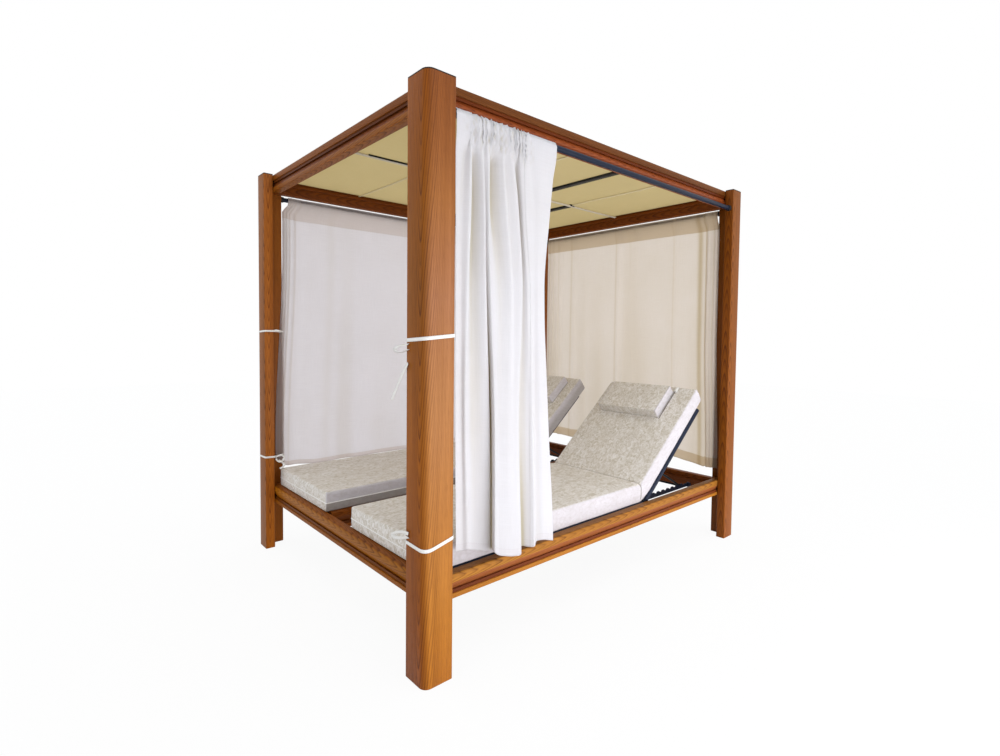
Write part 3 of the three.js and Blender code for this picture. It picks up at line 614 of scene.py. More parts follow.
# The lip, the cove and the step of each section, and the depth and height of the log's heart in it
SECTION_SIZES = {"rail": (0.030, 0.029, 0.013), "roof_beam": (0.020, 0.028, 0.012)}
BEAM_HEARTS = {"rail": (0.010, 0.077), "roof_beam": (0.016, 0.026)}
LEDGE_LOW, LEDGE_HIGH = 0.046, 0.061


def coved_outline(kind):
    """A beam's section as [depth, height, radius] points: the lip, the cove that slants in from it, the step
    at its deep end, the other lip. A rail is upside down."""
    lip, cove, step = SECTION_SIZES[kind]
    high = BEAM_HEIGHT
    outline = [
        (0.0, 0.0, 0.008 if kind == "rail" else 0.003), (0.0, lip, 0.003), (0.015, lip + cove, 0.0),
        (0.006, lip + cove, 0.0), (0.006, lip + cove + step, 0.0), (0.0, lip + cove + step, 0.002),
        (0.0, high, 0.003), (BEAM_DEPTH, high, 0.003), (BEAM_DEPTH, 0.0, 0.003),
    ]
    return [(deep, high - up, radius) for deep, up, radius in outline] if kind == "rail" else outline


# The tints of a beam's top, main lip, cove, step and other lip, which are painted light and shade
BEAM_TINTS = {
    "rail_near": (
        (0.80, 1.10, 2.6), (1.38, 1.94, 3.5), (1.22, 1.32, 4.5), (0.60, 0.50, 1.6), (1.46, 1.92, 2.8)),
    "rail_foot": (
        (0.85, 0.85, 0.8), (1.14, 1.36, 0.70), (1.26, 1.42, 0.60), (0.55, 0.52, 0.5), (0.95, 1.0, 0.7)),
    "roof_beam_near": (
        (1.0, 1.0, 1.0), (0.88, 0.60, 1.1), (1.16, 0.92, 2.4), (0.56, 0.40, 0.7), (0.54, 0.58, 1.2)),
    "roof_beam_foot": (
        (1.0, 1.0, 1.0), (0.90, 0.96, 0.8), (0.62, 0.52, 0.7), (0.40, 0.34, 0.4), (0.74, 0.72, 0.7)),
    "other": (
        (0.80, 0.75, 0.9), (0.78, 0.70, 0.75), (0.70, 0.60, 0.65), (0.50, 0.42, 0.5), (0.80, 0.72, 0.75)),
}


def beam_tint(kind, tints, middle):
    """The painted light and shade tint of the face whose middle is at this depth and height of a beam's
    section.
    """
    lip, cove, step = SECTION_SIZES[kind]
    deep, up = middle.x, BEAM_HEIGHT - middle.y if kind == "rail" else middle.y
    top, main, painted_hollow_shade, notch, other = tints
    if deep > 0.016:
        return top if kind == "rail" and up < 0.01 else notch if deep > 0.044 else main
    if up < 0.002:
        return top
    if up < lip + 0.001:
        return main
    if up < lip + cove:
        return painted_hollow_shade
    return notch if up < lip + cove + step - 0.0005 else other


def add_beam(name, node, kind, length, ledge_length, turn, place, seed):
    """A grooved beam with its ledge. Its outer face is at y = 0 and its bottom at z = 0, along x."""
    shape = bmesh.new()
    raised(shape, outline_face(shape, coved_outline(kind)), length)
    ledge = bmesh.new()
    inner, tip, edge = BEAM_DEPTH - 0.001, BEAM_DEPTH + LEDGE_DEPTH, 0.0015
    raised(ledge, outline_face(ledge, [
        (inner, LEDGE_LOW, 0.0), (tip, LEDGE_LOW, edge), (tip, LEDGE_HIGH, edge), (inner, LEDGE_HIGH, 0.0),
    ]), ledge_length)
    merged(shape, ledge, Matrix.Translation((0, 0, (length - ledge_length) / 2)))
    tints = BEAM_TINTS.get(node, BEAM_TINTS["other"])
    lay_grain(shape, 2, BEAM_HEARTS[kind], seed,
              lambda face, along: beam_tint(kind, tints, face.calc_center_median()))
    stand = Matrix(((0, 0, 1, -length / 2), (1, 0, 0, 0), (0, 1, 0, 0), (0, 0, 0, 1)))
    shape.transform(Matrix.Translation(place) @ Matrix.Rotation(turn, 4, "Z") @ stand)
    finished_piece(name, shape, "wood", replaces=[node])


def add_beams():
    long_length = 2 * (BED_X - POCKET)
    long_ledge = 2 * (BAY_END - LEDGE_DEPTH - FIT)
    short_length = 2 * (BAY_EDGE - FIT)
    side, end = BED_Y - POCKET, BED_X - POCKET
    for kind, z, seed in (("rail", RAIL_BOTTOM, 20.0), ("roof_beam", ROOF_BOTTOM, 40.0)):
        for where, length, ledge, turn, x, y in (
            ("near", long_length, long_ledge, 0.0, 0.0, -side),
            ("far", long_length, long_ledge, math.pi, 0.0, side),
            ("head", short_length, short_length, math.pi / 2, end, 0.0),
            ("foot", short_length, short_length, -math.pi / 2, -end, 0.0),
        ):
            add_beam(f"grooved_{kind}_{where}", f"{kind}_{where}", kind, length, ledge, turn, (x, y, z), seed)
            seed += 4.3
    for where, turn, y in (("near", math.pi, -HALF_GAP), ("far", 0.0, HALF_GAP)):
        add_beam(f"grooved_inner_{where}", f"inner_beam_{where}", "rail", long_ledge, long_ledge, turn,
                 (0.0, y, RAIL_BOTTOM), 60.0 + 5.0 * turn)


def turned(shape, profile, segments=32):
    """Spins an open profile of (radius, along) points round z into a closed solid."""
    points = [shape.verts.new((radius, 0.0, along)) for radius, along in profile]
    edges = [shape.edges.new(pair) for pair in zip(points, points[1:])]
    bmesh.ops.spin(shape, geom=points + edges, cent=(0, 0, 0), axis=(0, 0, 1), angle=2 * math.pi,
                   steps=segments, use_merge=True)
    bmesh.ops.remove_doubles(shape, verts=shape.verts[:], dist=1e-6)
    bmesh.ops.recalc_face_normals(shape, faces=shape.faces[:])


SOCKET_PROFILE = [
    (0.0, 0.0), (0.0162, 0.0), (0.0170, 0.0008), (0.0170, 0.0088), (0.0162, 0.0094), (0.0162, 0.0172),
    (0.0156, 0.0180), (0.0130, 0.0180), (0.0128, 0.0176), (0.0128, 0.0030), (0.0, 0.0030),
]


def add_rods():
    along_x = Matrix.Rotation(math.pi / 2, 4, "Y")
    along_y = Matrix.Rotation(-math.pi / 2, 4, "X")
    for name, span, stand, x, y in (
        ("near", BED_X, along_x, 0.0, -(BED_Y - ROD_INSET)),
        ("far", BED_X, along_x, 0.0, BED_Y - ROD_INSET),
        ("head", BED_Y, along_y, BED_X - ROD_INSET, 0.0),
    ):
        half = span - POST_FLANGE - FIT
        seated = half - 0.0033
        middle = Matrix.Translation((x, y, ROD_Z)) @ stand
        bar = bmesh.new()
        round_bar(bar, ROD_RADIUS, 2 * seated)
        bar.transform(middle @ Matrix.Translation((0, 0, -seated)))
        finished_piece(f"{name}_curtain_rod", bar, "blue_tube", replaces=[f"{name}_rod"])
        first, last = (2, 1) if name == "far" else (1, 2)
        for number, place, turn in ((first, -half, 0.0), (last, half, math.pi)):
            cup = bmesh.new()
            turned(cup, SOCKET_PROFILE)
            cup.transform(middle @ Matrix.Translation((0, 0, place)) @ Matrix.Rotation(turn, 4, "X"))
            finished_piece(f"{name}_rod_cup_{number}", cup, "socket", replaces=[f"{name}_rod_socket_{number}"])


# Radii of the backrest's round parts
SIDE_TUBE, END_TUBE, HINGE_EYE, PROP_BAR = 0.0148, 0.0140, 0.013, 0.006
# Places up the backrest from its hinge: the ends of the side tubes, the end bar, the bar that carries the prop
# and the middles of the slats
TUBE_START, TUBE_END, END_AT, PROP_AT = 0.019, 0.706, 0.690, 0.245
SLATS = (0.070, 0.170, 0.320, 0.4267, 0.5333, 0.640)
BACK_HALF = 0.28335  # from its middle to its side tubes, nearly


def add_backrest_frame(name, side):
    """Two side tubes, the end bar, the bar that carries the prop, the slats and the hinge plates. It is made
    flat, with the hinge on the y axis."""
    half = BACK_HALF
    shape = bmesh.new()
    for hand in (-1, 1):
        y = hand * (half + 0.0012)
        rod_between(shape, (TUBE_START, y, 0.0002), (TUBE_END, y, 0.0002), SIDE_TUBE, 40, 0.004)
        plate = sorted((hand * (half + 0.0030), hand * (half + 0.0090)))
        soft_box(shape, (0.0, plate[0], -0.010), (0.030, plate[1], 0.010))
        rod_between(shape, (0, plate[0], 0), (0, plate[1], 0), HINGE_EYE, 32, 0.0008)
    rod_between(shape, (END_AT, -half, -0.0035), (END_AT, half, -0.0035), END_TUBE)
    rod_between(shape, (PROP_AT, -half, 0), (PROP_AT, half, 0), PROP_BAR, 24, 0.0005)
    for along in SLATS:
        soft_box(shape, (along - 0.025, -half, 0.0095), (along + 0.025, half, 0.0150))
    stand = Matrix.Translation(PIVOT + Vector((0, side * LOUNGER_Y, 0))) @ Matrix.Rotation(-BACK_ANGLE, 4, "Y")
    shape.transform(stand)
    finished_piece(f"{name}_back_frame", shape, "blue_tube", body=f"{name}_backrest",
                   replaces=[f"{name}_backrest_frame"])


# Cloth
def cloth_grid(columns, rows, place, flat):
    """A grid of cloth: place(u, v) puts each point and says how much painted shade its fold gets there, which
    is kept as the fold attribute. The map called cloth is in metres."""
    shape = bmesh.new()
    layer = shape.loops.layers.uv.new("cloth")
    bmesh.ops.create_grid(shape, x_segments=columns, y_segments=rows, size=0.5)
    for face in shape.faces:
        for loop in face.loops:
            loop[layer].uv = ((loop.vert.co.x + 0.5) * flat[0], (loop.vert.co.y + 0.5) * flat[1])
    fold = shape.verts.layers.float.new("fold")
    for vertex in shape.verts:
        vertex.co, vertex[fold] = place(vertex.co.x + 0.5, vertex.co.y + 0.5)
    return shape


def thickened(piece, thickness):
    wall = piece.modifiers.new("cloth thickness", "SOLIDIFY")
    wall.thickness = thickness
    wall.offset = 0.0
    wall.use_even_offset = False


def clamped(value, low=0.0, high=1.0):
    return min(max(value, low), high)


def smooth_step(low, high, value):
    t = clamped((value - low) / (high - low))
    return t * t * (3 - 2 * t)


def bell(gap):
    return math.exp(-gap * gap)


def lump(x, y, z):
    return noise.noise(Vector((x, y, z)))


def path_length(path):
    return sum((b - a).length for a, b in zip(path, path[1:]))


def blend_values(values, t):
    """A smooth curve through values at even steps of t from 0 to 1 (Catmull-Rom)."""
    last = len(values) - 1
    i = min(int(t * last), last - 1)
    f = t * last - i
    a, b, c, d = (values[min(max(k, 0), last)] for k in (i - 1, i, i + 1, i + 2))
    return 0.5 * (2 * b + (c - a) * f + (2 * a - 5 * b + 4 * c - d) * f * f + (3 * b - a - 3 * c + d) * f ** 3)


def blend_at(places, values, t):
    """As blend_values, for values at uneven places."""
    for k, (low, high) in enumerate(zip(places, places[1:])):
        if t <= high or high == places[-1]:
            return blend_values(values, (k + clamped((t - low) / (high - low))) / (len(values) - 1))


# The near curtain's ribs, left to right: how far along the rod and how far in from the bed's side each runs,
# in millimetres from the foot end and the near side, at the heights of NEAR_LEVELS, and the height of the hem.
# A steep rib behind each crest makes its folded edge.
NEAR_LEVELS = (0.0, 0.17, 0.35, 0.67, 1.0)
NEAR_RIBS = (
    ((126, 128, 135, 151, 179), (12, 12, 18, 36, 64), 423),
    ((186, 163, 163, 182, 210), (30, 22, 24, 42, 66), 416),
    ((191, 193, 187, 195, 230), (8, 8, 12, 30, 56), 419),
    ((212, 224, 223, 246, 266), (32, 44, 44, 54, 66), 405),
    ((237, 253, 265, 307, 336), (10, 9, 13, 36, 56), 388),
    ((250, 267, 282, 334, 350), (19, 19, 28, 62, 66), 396),
    ((277, 278, 289, 311, 316), (8, 8, 8, 8, 6), 404),
    ((305, 312, 345, 339, 338), (42, 44, 28, 12, 2), 386),
    ((335, 358, 390, 381, 374), (10, 9, 9, 2, -4), 375),
    ((352, 379, 409, 407, 408), (21, 21, 17, 3, -5), 366),
    ((383, 420, 447, 432, 451), (8, 8, 8, 4, 0), 360),
    ((412, 448, 468, 463, 486), (36, 38, 30, 30, 36), 372),
    ((428, 452, 480, 497, 512), (14, 18, 14, 18, 22), 368),
    ((448, 461, 492, 504, 522), (12, 12, 12, 12, 10), 368),
    ((459, 470, 498, 514, 533), (8, 9, 10, 7, 4), 371),
    ((493, 513, 521, 539, 559), (17, 15, 17, 20, 20), 380),
    ((538, 549, 542, 566, 595), (11, 11, 12, 12, 12), 379),
    ((631, 604, 582, 614, 656), (14, 15, 18, 18, 18), 359),
)
NEAR_TOP = 2.0035
NEAR_FALL = 1.985  # where its ribs start
NEAR_STITCH = 1.932  # the seam under the rod
NEAR_HUG = 15.2  # millimetres from the rod's axis to the cloth round it
NEAR_WAVES = 16.5  # how many folds its header has
SPREAD_TOP = 2.0036
SPREAD_FALL = ROD_Z - 0.02
SPREAD_HUG = 0.0160
POST_ROOM = 0.0280  # how far in a spread curtain stands where it passes a post
CURTAIN_THICK = 0.0012


def crowded_rows(v):
    """Sets rows of a curtain closer together at its hem and its header."""
    return v + math.sin(2 * math.pi * v) * (0.06 * (v - 1) + 0.072 * v)


def header_room(u):
    """How much of the rod a fold of the header has, from 0.3 where the ribs crowd to 1."""
    starts = [rib[0][0] for rib in NEAR_RIBS]
    low, high = (blend_values(starts, clamped(t)) for t in (u - 0.02, u + 0.02))
    return clamped((high - low) / 20.0, 0.3)


def near_curtain_point(u, v):
    """v runs from the hem, 0, to the top edge, 1. Sizes along and in are in millimetres until the end."""
    hem = blend_values([rib[2] for rib in NEAR_RIBS], u) * MM
    gathered = smooth_step(0.01, 0.12, u) * (1 - smooth_step(0.80, 0.93, u))
    top = NEAR_TOP + gathered * (0.0020 * math.sin(104 * u) + 0.0030 * lump(u * 46, 2.2, 0.3))
    z = top + (hem - top) * (1.0 - crowded_rows(v))
    level = clamped((NEAR_FALL - z) / (NEAR_FALL - hem))
    x = blend_values([blend_at(NEAR_LEVELS, rib[0], level) for rib in NEAR_RIBS], u)
    ins = [blend_at(NEAR_LEVELS, rib[1], level) for rib in NEAR_RIBS]
    y = blend_values(ins, u)
    crest = min(blend_values(ins, clamped(u + 0.03 * k)) for k in range(-3, 4))
    falling = 1 - smooth_step(NEAR_STITCH - 0.085, NEAR_STITCH + 0.012, z)
    rise = (z - ROD_Z) / MM
    hug = ROD_INSET / MM - math.sqrt(max(NEAR_HUG ** 2 - clamped(rise, 0.0, 14.0) ** 2, 30.0))
    slant = 0.9 * math.sin(z * 170)
    turn = 2 * math.pi * NEAR_WAVES * u + slant
    wave = math.sin(turn + 1.6 * math.sin(17 * u))
    wave += 0.55 * math.sin(2 * math.pi * 31.0 * u - 1.7 * slant)
    wave += 1.0 * lump(u * 64 + z * 40, z * 30, 7.7) + 0.8 * lump(u * 40 - z * 70, z * 46, 2.7)
    pinch = bell((z - NEAR_STITCH) / 0.008)
    scrunch = gathered * (4.6 + 2.4 * pinch) * min(1.0, 0.35 + abs(rise) / 14) * header_room(u)
    header = hug - 4.2 - scrunch * wave + 1.6 * pinch * gathered
    header = min(header, hug) if abs(rise) < 16 else header
    y = y * falling + header * (1 - falling)
    x += 4.0 * math.cos(turn) * (1 - falling) * gathered
    y += 1.0 * lump(x * 0.02, z * 6.0, 3.1) * falling
    # deep is painted shade: it darkens the cloth towards the back of each fold and between the puckers of the
    # header.
    deep = (0.22 * smooth_step(6, 30, y - crest) + 0.60 * smooth_step(26, 44, y - crest)) * falling
    deep = max(deep, 0.5 * gathered * (1 - falling) * smooth_step(0.4, 2.2, -wave))
    return Vector((x * MM - BED_X, y * MM - BED_Y, z)), deep


def add_near_curtain():
    flat = (0.62, 1.64)
    shape = cloth_grid(330, 124, near_curtain_point, flat)
    drape = finished_piece("near_drape", shape, "curtain_cloth", body="near_curtain",
                           replaces=["near_curtain"], smooth=0)
    thickened(drape, CURTAIN_THICK)


def soft_creases(seed, count, width, depth, spread):
    """Long soft folds at uneven places: (place, half width, depth at the top, depth at the hem, drift)."""
    rng = random.Random(seed)
    return [
        ((i + 0.5 + rng.uniform(-0.34, 0.34)) / count, width * rng.uniform(0.6, 1.5),
         depth[0] * rng.uniform(0.3, 1.4), depth[1] * rng.uniform(0.4, 1.3), spread * rng.uniform(-1, 1))
        for i in range(count)
    ]


def crease_depth(creases, u, down):
    depth = 0.0
    for place, half, top, low, drift in creases:
        gap = (u - place - drift * down) / half
        if abs(gap) < 3:
            depth += (top + (low - top) * down) * bell(gap)
    return depth


def spread_drape(name, node, columns, rod, inward, ends, hem, seed, flat, pleats, lean, cloth, clearing):
    """A curtain spread along its rod. rod(along) gives the rod's axis, and inward points into the bed. pleats
    are ridges at chosen places: (metres from the start, half width, depth at the top, depth at the hem, how
    much painted shade the cloth gets behind the ridge). lean(level) moves its ends along the rod. clearing
    gives the places between which the cloth moves in front of the post."""
    creases = soft_creases(seed, 9, 0.020, (0.0015, 0.004), 0.010)
    folds = soft_creases(seed + 1, 7, 0.050, (0.004, 0.016), 0.02)
    start, end = ends

    def place(u, v):
        low = hem(u)
        z = SPREAD_TOP + (low - SPREAD_TOP) * (1.0 - crowded_rows(v))
        level = clamped((SPREAD_FALL - z) / (SPREAD_FALL - low))
        left, right = lean(level)
        along = start + left + (end + right - start - left) * u
        hugging = smooth_step(-0.150, -0.030, z - ROD_Z)
        depth = 0.004 + crease_depth(creases, u, level) - crease_depth(folds, u, level)
        depth += 0.0012 * lump(along * 5, z * 4, seed)
        ridge = tight = painted_hollow_shade = 0.0
        for spot, half, high_deep, low_deep, tone in pleats:
            gap = (u * (end - start) - spot) / half
            # Painted shade behind each ridge, by the pleat's last number.
            painted_hollow_shade = max(painted_hollow_shade, tone * bell((gap - 1.35) / 0.40))
            if abs(gap) < 3:
                ridge += (high_deep + (low_deep - high_deep) * level) * bell(gap)
                tight = max(tight, bell(gap / 1.5))
        ruffle = 0.0028 * math.sin(2 * math.pi * along / 0.021) * tight
        ruffle += 0.0007 * math.sin(2 * math.pi * along / 0.034 + 2 * math.sin(along * 19))
        hug = math.sqrt(max((SPREAD_HUG + abs(ruffle)) ** 2 - max(z - ROD_Z, 0.0) ** 2, 0.00012))
        out = (0.010 + depth) * (1 - hugging) + hug * hugging + ridge * (1 - 0.75 * hugging)
        out = max(out, POST_ROOM * smooth_step(*clearing, along))
        # deep is painted shade: behind the ridges, and a little in the deepest folds.
        deep = max(painted_hollow_shade * (1 - 0.4 * hugging), 0.10 * smooth_step(0.002, 0.016, 0.004 - depth))
        return rod(along) + inward * out + Vector((0, 0, z - ROD_Z)), deep

    shape = cloth_grid(columns, 96, place, flat)
    drape = finished_piece(name, shape, "curtain_cloth", replaces=[node], smooth=0, finish=cloth)
    thickened(drape, CURTAIN_THICK)


def far_rod(along):
    return Vector((along, BED_Y - ROD_INSET, ROD_Z))


def head_rod(along):
    return Vector((BED_X - ROD_INSET, along, ROD_Z))


def far_hem(u):
    """Pulled up at the tied corner, lowest beside it, then level."""
    return 0.427 + 0.056 * bell(u / 0.022) + 0.010 * bell((u - 0.06) / 0.04) + 0.006 * u * u


def head_hem(u):
    """A bundle at the near end hangs in front of the rest, which rises away from it."""
    rest = 0.423 - 0.033 * max(0.0, 1 - max(u - 0.072, 0.0) / 0.13) - 0.005 * smooth_step(0.5, 1.0, u)
    bundle = 0.404 - 0.10 * u
    share = smooth_step(0.060, 0.070, u)
    return bundle + (rest + 0.0015 * math.sin(23 * u) - bundle) * share


# Pleats of the far and head curtains: (metres from the start, half width, depth at the top, depth at the hem,
# painted shade behind the ridge).
FAR_PLEATS = (
    (0.004, 0.008, 0.018, 0.018, 0.20), (0.021, 0.007, 0.020, 0.010, 0.24), (0.038, 0.007, 0.014, 0.002, 0.22),
    (0.062, 0.012, 0.012, 0.0, 0.18), (0.200, 0.070, 0.005, 0.008, 0.06), (0.115, 0.030, -0.003, -0.006, 0.0),
    (1.87, 0.014, 0.012, 0.008, 0.1), (1.92, 0.012, 0.016, 0.012, 0.1), (1.96, 0.012, 0.014, 0.014, 0.1),
)
HEAD_PLEATS = (
    (0.004, 0.006, 0.012, 0.010, 0.10), (0.020, 0.010, 0.014, 0.016, 0.20), (0.042, 0.016, 0.014, 0.030, 0.0),
    (0.068, 0.014, 0.014, 0.034, 0.45), (0.072, 0.042, 0.0, 0.0, 0.45), (0.125, 0.024, -0.003, -0.006, 0.0),
    (0.293, 0.016, 0.003, 0.006, 0.12), (0.601, 0.040, 0.005, 0.008, 0.08),
    (0.706, 0.016, -0.003, -0.006, 0.0), (0.748, 0.016, 0.003, 0.007, 0.18),
    (1.158, 0.022, 0.005, 0.009, 0.18), (1.30, 0.018, 0.008, 0.012, 0.16),
    (1.36, 0.013, 0.012, 0.014, 0.22), (1.40, 0.010, 0.012, 0.012, 0.26), (1.43, 0.010, 0.012, 0.012, 0.20),
)


def far_lean(level):
    """How far the far curtain's ends move along the rod, from the header down to the hem."""
    return -0.038 * smooth_step(0.0, 0.04, level) - 0.046 * smooth_step(0.15, 0.95, level), 0.0


def head_lean(level):
    return -0.020 * smooth_step(0.0, 0.05, level) - 0.024 * smooth_step(0.45, 1.0, level), 0.013 * level


def add_spread_curtains():
    spread_drape(
        "far_drape", "far_curtain", 420, far_rod, Vector((0, -1, 0)), (-0.980, 1.000), far_hem, 11,
        (2.20, 1.60), FAR_PLEATS, far_lean, FAR_CLOTH, (-1.011, -1.019),
    )
    spread_drape(
        "head_drape", "head_curtain", 400, head_rod, Vector((-1, 0, 0)), (-0.728, 0.715), head_hem, 23,
        (1.70, 1.62), HEAD_PLEATS, head_lean, HEAD_CLOTH, (-0.728, -0.738),
    )


def add_roof_bars():
    """Bar 3 is bare, bar 4 is bare on its far half, and narrow sleeves, a little uneven, hide the rest. The
    centre bar shows beside its sleeve near the foot end."""
    half, low, split = BAY_EDGE - 0.0008, BAR_Z - 0.0007, -0.012
    bar_half, bar_thick, sleeve_radius, centre_radius = 0.0185, 0.0117, 0.0042, 0.0062
    for number, start, end, kind in (
        (1, -half, half, "sleeve"), (2, -half, half, "sleeve"), (3, -half, half, "bare"),
        (4, -half, split, "sleeve"), (4, split, half, "bare"),
    ):
        x = BAR_PLACES[number - 1]
        bar = bmesh.new()
        if kind == "bare":
            soft_box(bar, (x - bar_half, start, low), (x + bar_half, end, low + bar_thick), 0.0018)
        else:
            tube_along(bar, [Vector((x + 0.004 * math.sin(9 * k / 12 + number), start + (end - start) * k / 12,
                                     low + 0.0075)) for k in range(13)], sleeve_radius)
        finished_piece(f"roof_bar_{number}_{kind}", bar, "black_bar",
                       replaces=[f"roof_cross_bar_{number}"] if start == -half else [],
                       finish=SLEEVE if kind == "sleeve" else None)
    end = BAY_END - 0.001
    sleeve = bmesh.new()
    tube_along(sleeve, [Vector((-end + 2 * end * k / 12, 0.003 * math.sin(k * 1.3), low + 0.0015))
                        for k in range(13)], centre_radius)
    finished_piece("roof_centre_sleeve", sleeve, "black_bar", replaces=["roof_centre_bar"], finish=GREY_SLEEVE)
    bar = bmesh.new()
    soft_box(bar, (-0.90, -0.0178, low + 0.0005), (-0.25, -0.0010, low + 0.0080), 0.0012)
    for vertex in bar.verts:
        if vertex.co.x < -0.8:
            vertex.co.y = -0.0060 + 0.15 * (vertex.co.y + 0.0094)
    finished_piece("roof_centre_rod", bar, "black_bar")


def roof_sag(x, y):
    """The cloth hangs a little between the bars."""
    places = (-BAY_END, *BAR_PLACES, BAY_END)
    low, high = next((pair for pair in zip(places, places[1:]) if x <= pair[1]), places[-2:])
    share = clamped((x - low) / (high - low))
    return 0.003 * math.sin(math.pi * share) ** 4 * math.cos(math.pi * y / (2 * BAY_EDGE))


def add_roof_cloth():
    half_x, half_y = BAY_END - FIT, BAY_EDGE - FIT
    flat = (2 * half_x, 2 * half_y)

    def place(u, v):
        x, y = (2 * u - 1) * half_x, (2 * v - 1) * half_y
        ripple = 0.0012 * lump(x * 7, y * 7, 0.4)
        return Vector((x, y, CLOTH_Z + 0.001 - roof_sag(x, y) + min(ripple, 0.0))), 0.0

    shape = cloth_grid(220, 120, place, flat)
    bmesh.ops.reverse_faces(shape, faces=shape.faces[:])
    sheet = finished_piece("roof_sheet", shape, "roof_cloth", replaces=["roof_cloth"], smooth=0)
    thickened(sheet, 0.002)


# Mattresses and pillows
def on_backrest(along, out, across=0.0):
    """The place at a distance up the backrest from its hinge and out from its frame."""
    c, s = math.cos(BACK_ANGLE), math.sin(BACK_ANGLE)
    return Vector((PIVOT.x + along * c - out * s, across, PIVOT.z + along * s + out * c))


PAD_HIGH = BACK_PAD_LOW + PAD_THICK
PAD_FOOT = -BED_X + 0.088
PAD_HALF = Vector((1.0, 0.313, 0.050))  # its first number is a share of the length
FOLD_SHARE, BACK_SHARE = 0.655, 0.700  # where the fold starts, and where the back part does
CREASE_X = PIVOT.x - 0.04197
FOLD_ROUND = 0.008  # of the mattress's edges beside its fold
SEAM_HALF = 0.0024  # half the width of the painted shade line in the crease at the fold


def pad_section(share):
    """The bottom and top of the mattress at a share of its length, from the foot end."""
    flat = [(at, Vector((x, 0, PAD_BOTTOM)), Vector((x, 0, PAD_BOTTOM + PAD_THICK)))
            for at, x in ((0.0, PAD_FOOT), (FOLD_SHARE, CREASE_X))]
    raised_up = [(at, on_backrest(along, BACK_PAD_LOW), on_backrest(along, PAD_HIGH))
                 for at, along in ((BACK_SHARE, 0.060), (1.0, BACK_PAD_END))]
    keys = flat + raised_up
    for (low, low_b, low_t), (high, high_b, high_t) in zip(keys, keys[1:]):
        if share <= high or high == 1.0:
            f = (share - low) / (high - low)
            return low_b.lerp(high_b, f), low_t.lerp(high_t, f)


def gathered_ends(t, power=2.6):
    """Moves even steps from -1 to 1 towards both ends, so that a rim has close rows."""
    return math.copysign(1 - (1 - abs(t)) ** power, t)


def foam_block(cuts):
    """A cube from -1 to 1 with a grid on every side."""
    shape = bmesh.new()
    bmesh.ops.create_cube(shape, size=2.0)
    bmesh.ops.subdivide_edges(shape, edges=shape.edges[:], cuts=cuts, use_grid_fill=True)
    return shape


def map_cloth(shape, length, width, thickness):
    """Gives a foam block the map called cloth, in metres, side by side from its -1 to 1 places."""
    layer = shape.loops.layers.uv.new("cloth")
    size = Vector((length, width, thickness)) / 2
    for face in shape.faces:
        normal = face.normal
        axis = max(range(3), key=lambda k: abs(normal[k]))
        a, b = [k for k in range(3) if k != axis]
        for loop in face.loops:
            place = loop.vert.co
            loop[layer].uv = (place[a] * size[a] + 3 * axis, place[b] * size[b])


def rounded(place, half, radii):
    """Moves a point of a box onto its rounded rims: half sizes and radii along x, y and z."""
    over = [max(abs(p) - h + r, 0.0) / r for p, h, r in zip(place, half, radii)]
    size = math.sqrt(sum(o * o for o in over))
    if size < 1e-9:
        return Vector(place)
    return Vector([math.copysign(h - r + o / size * r, p) if o else p
                   for p, h, r, o in zip(place, half, radii, over)])


def pad_place(co, axis_y):
    """A point of the mattress from its place in the foam block, and how much painted shade it gets there."""
    share = (co.x + 1) / 2
    back = smooth_step(FOLD_SHARE, BACK_SHARE, share)
    near_fold = bell((share - FOLD_SHARE) / 0.02)
    rim = 0.009 + 0.013 * near_fold * (1 - back) if co.z > 0 else 0.005 + 0.011 * back
    place = rounded([co[k] * PAD_HALF[k] for k in range(3)], PAD_HALF, (0.004, rim, rim))
    share = (place.x / PAD_HALF.x + 1) / 2
    across = place.y / PAD_HALF.y
    up = place.z / (2 * PAD_HALF.z) + 0.5
    low, high = pad_section(share)
    from_fold = abs(share - FOLD_SHARE) * 2.0
    shoulder = max(0.0, FOLD_ROUND - from_fold)
    groove = FOLD_ROUND - math.sqrt(max(FOLD_ROUND ** 2 - shoulder ** 2, 0.0))
    end = min(share, 1 - share) * 2
    crown = 0.003 * (1 - across ** 4) * min(1.0, end * 9) ** 0.5
    wobble = 0.0018 * lump(share * 22, across * 4 + axis_y * 9, up * 2)
    point = low.lerp(high, up)
    point += (high - low).normalized() * (crown - 0.003 + wobble - 1.3 * groove) * smooth_step(0.4, 1.0, up)
    mid = 1 - (2 * up - 1) ** 2
    side = PAD_HALF.y - 0.002 + 0.003 * mid - 0.6 * groove
    side += 0.0016 * lump(share * 26, up * 3, across + axis_y)
    point.y = axis_y + across * side
    if end < 0.004:
        along = (pad_section(min(share + 0.01, 1.0))[0] - pad_section(max(share - 0.01, 0.0))[0]).normalized()
        point += along * (-1 if share < 0.5 else 1) * 0.003 * mid * (1 - across ** 2)
    # Painted shade: a dark line in the crease at the fold.
    seam = bell(from_fold / SEAM_HALF) * smooth_step(0.05, 0.2, up)
    if axis_y > 0:
        # Painted shade on the lower part of the far pad's near wall.
        low_wall_shade = (0.50 * (1 - back) * (1 - smooth_step(0.40, 0.47, up))
                  + 0.30 * back * (1 - smooth_step(0.45, 0.85, up)))
        seam = max(seam, low_wall_shade * smooth_step(-0.975, -0.992, across))
    return point, seam


def mark_walls(shape, half_width, middle):
    """Marks how far each vertex is down the near or far wall of a pad, once it is in place, for painted shade.
    """
    layer = shape.verts.layers.float.new("side_wall")
    for vertex in shape.verts:
        vertex[layer] = smooth_step(half_width - 0.010, half_width - 0.003, abs(vertex.co.y - middle))


def soft_rims(pad):
    soften = pad.modifiers.new("soft rims", "SUBSURF")
    soften.levels = soften.render_levels = 1


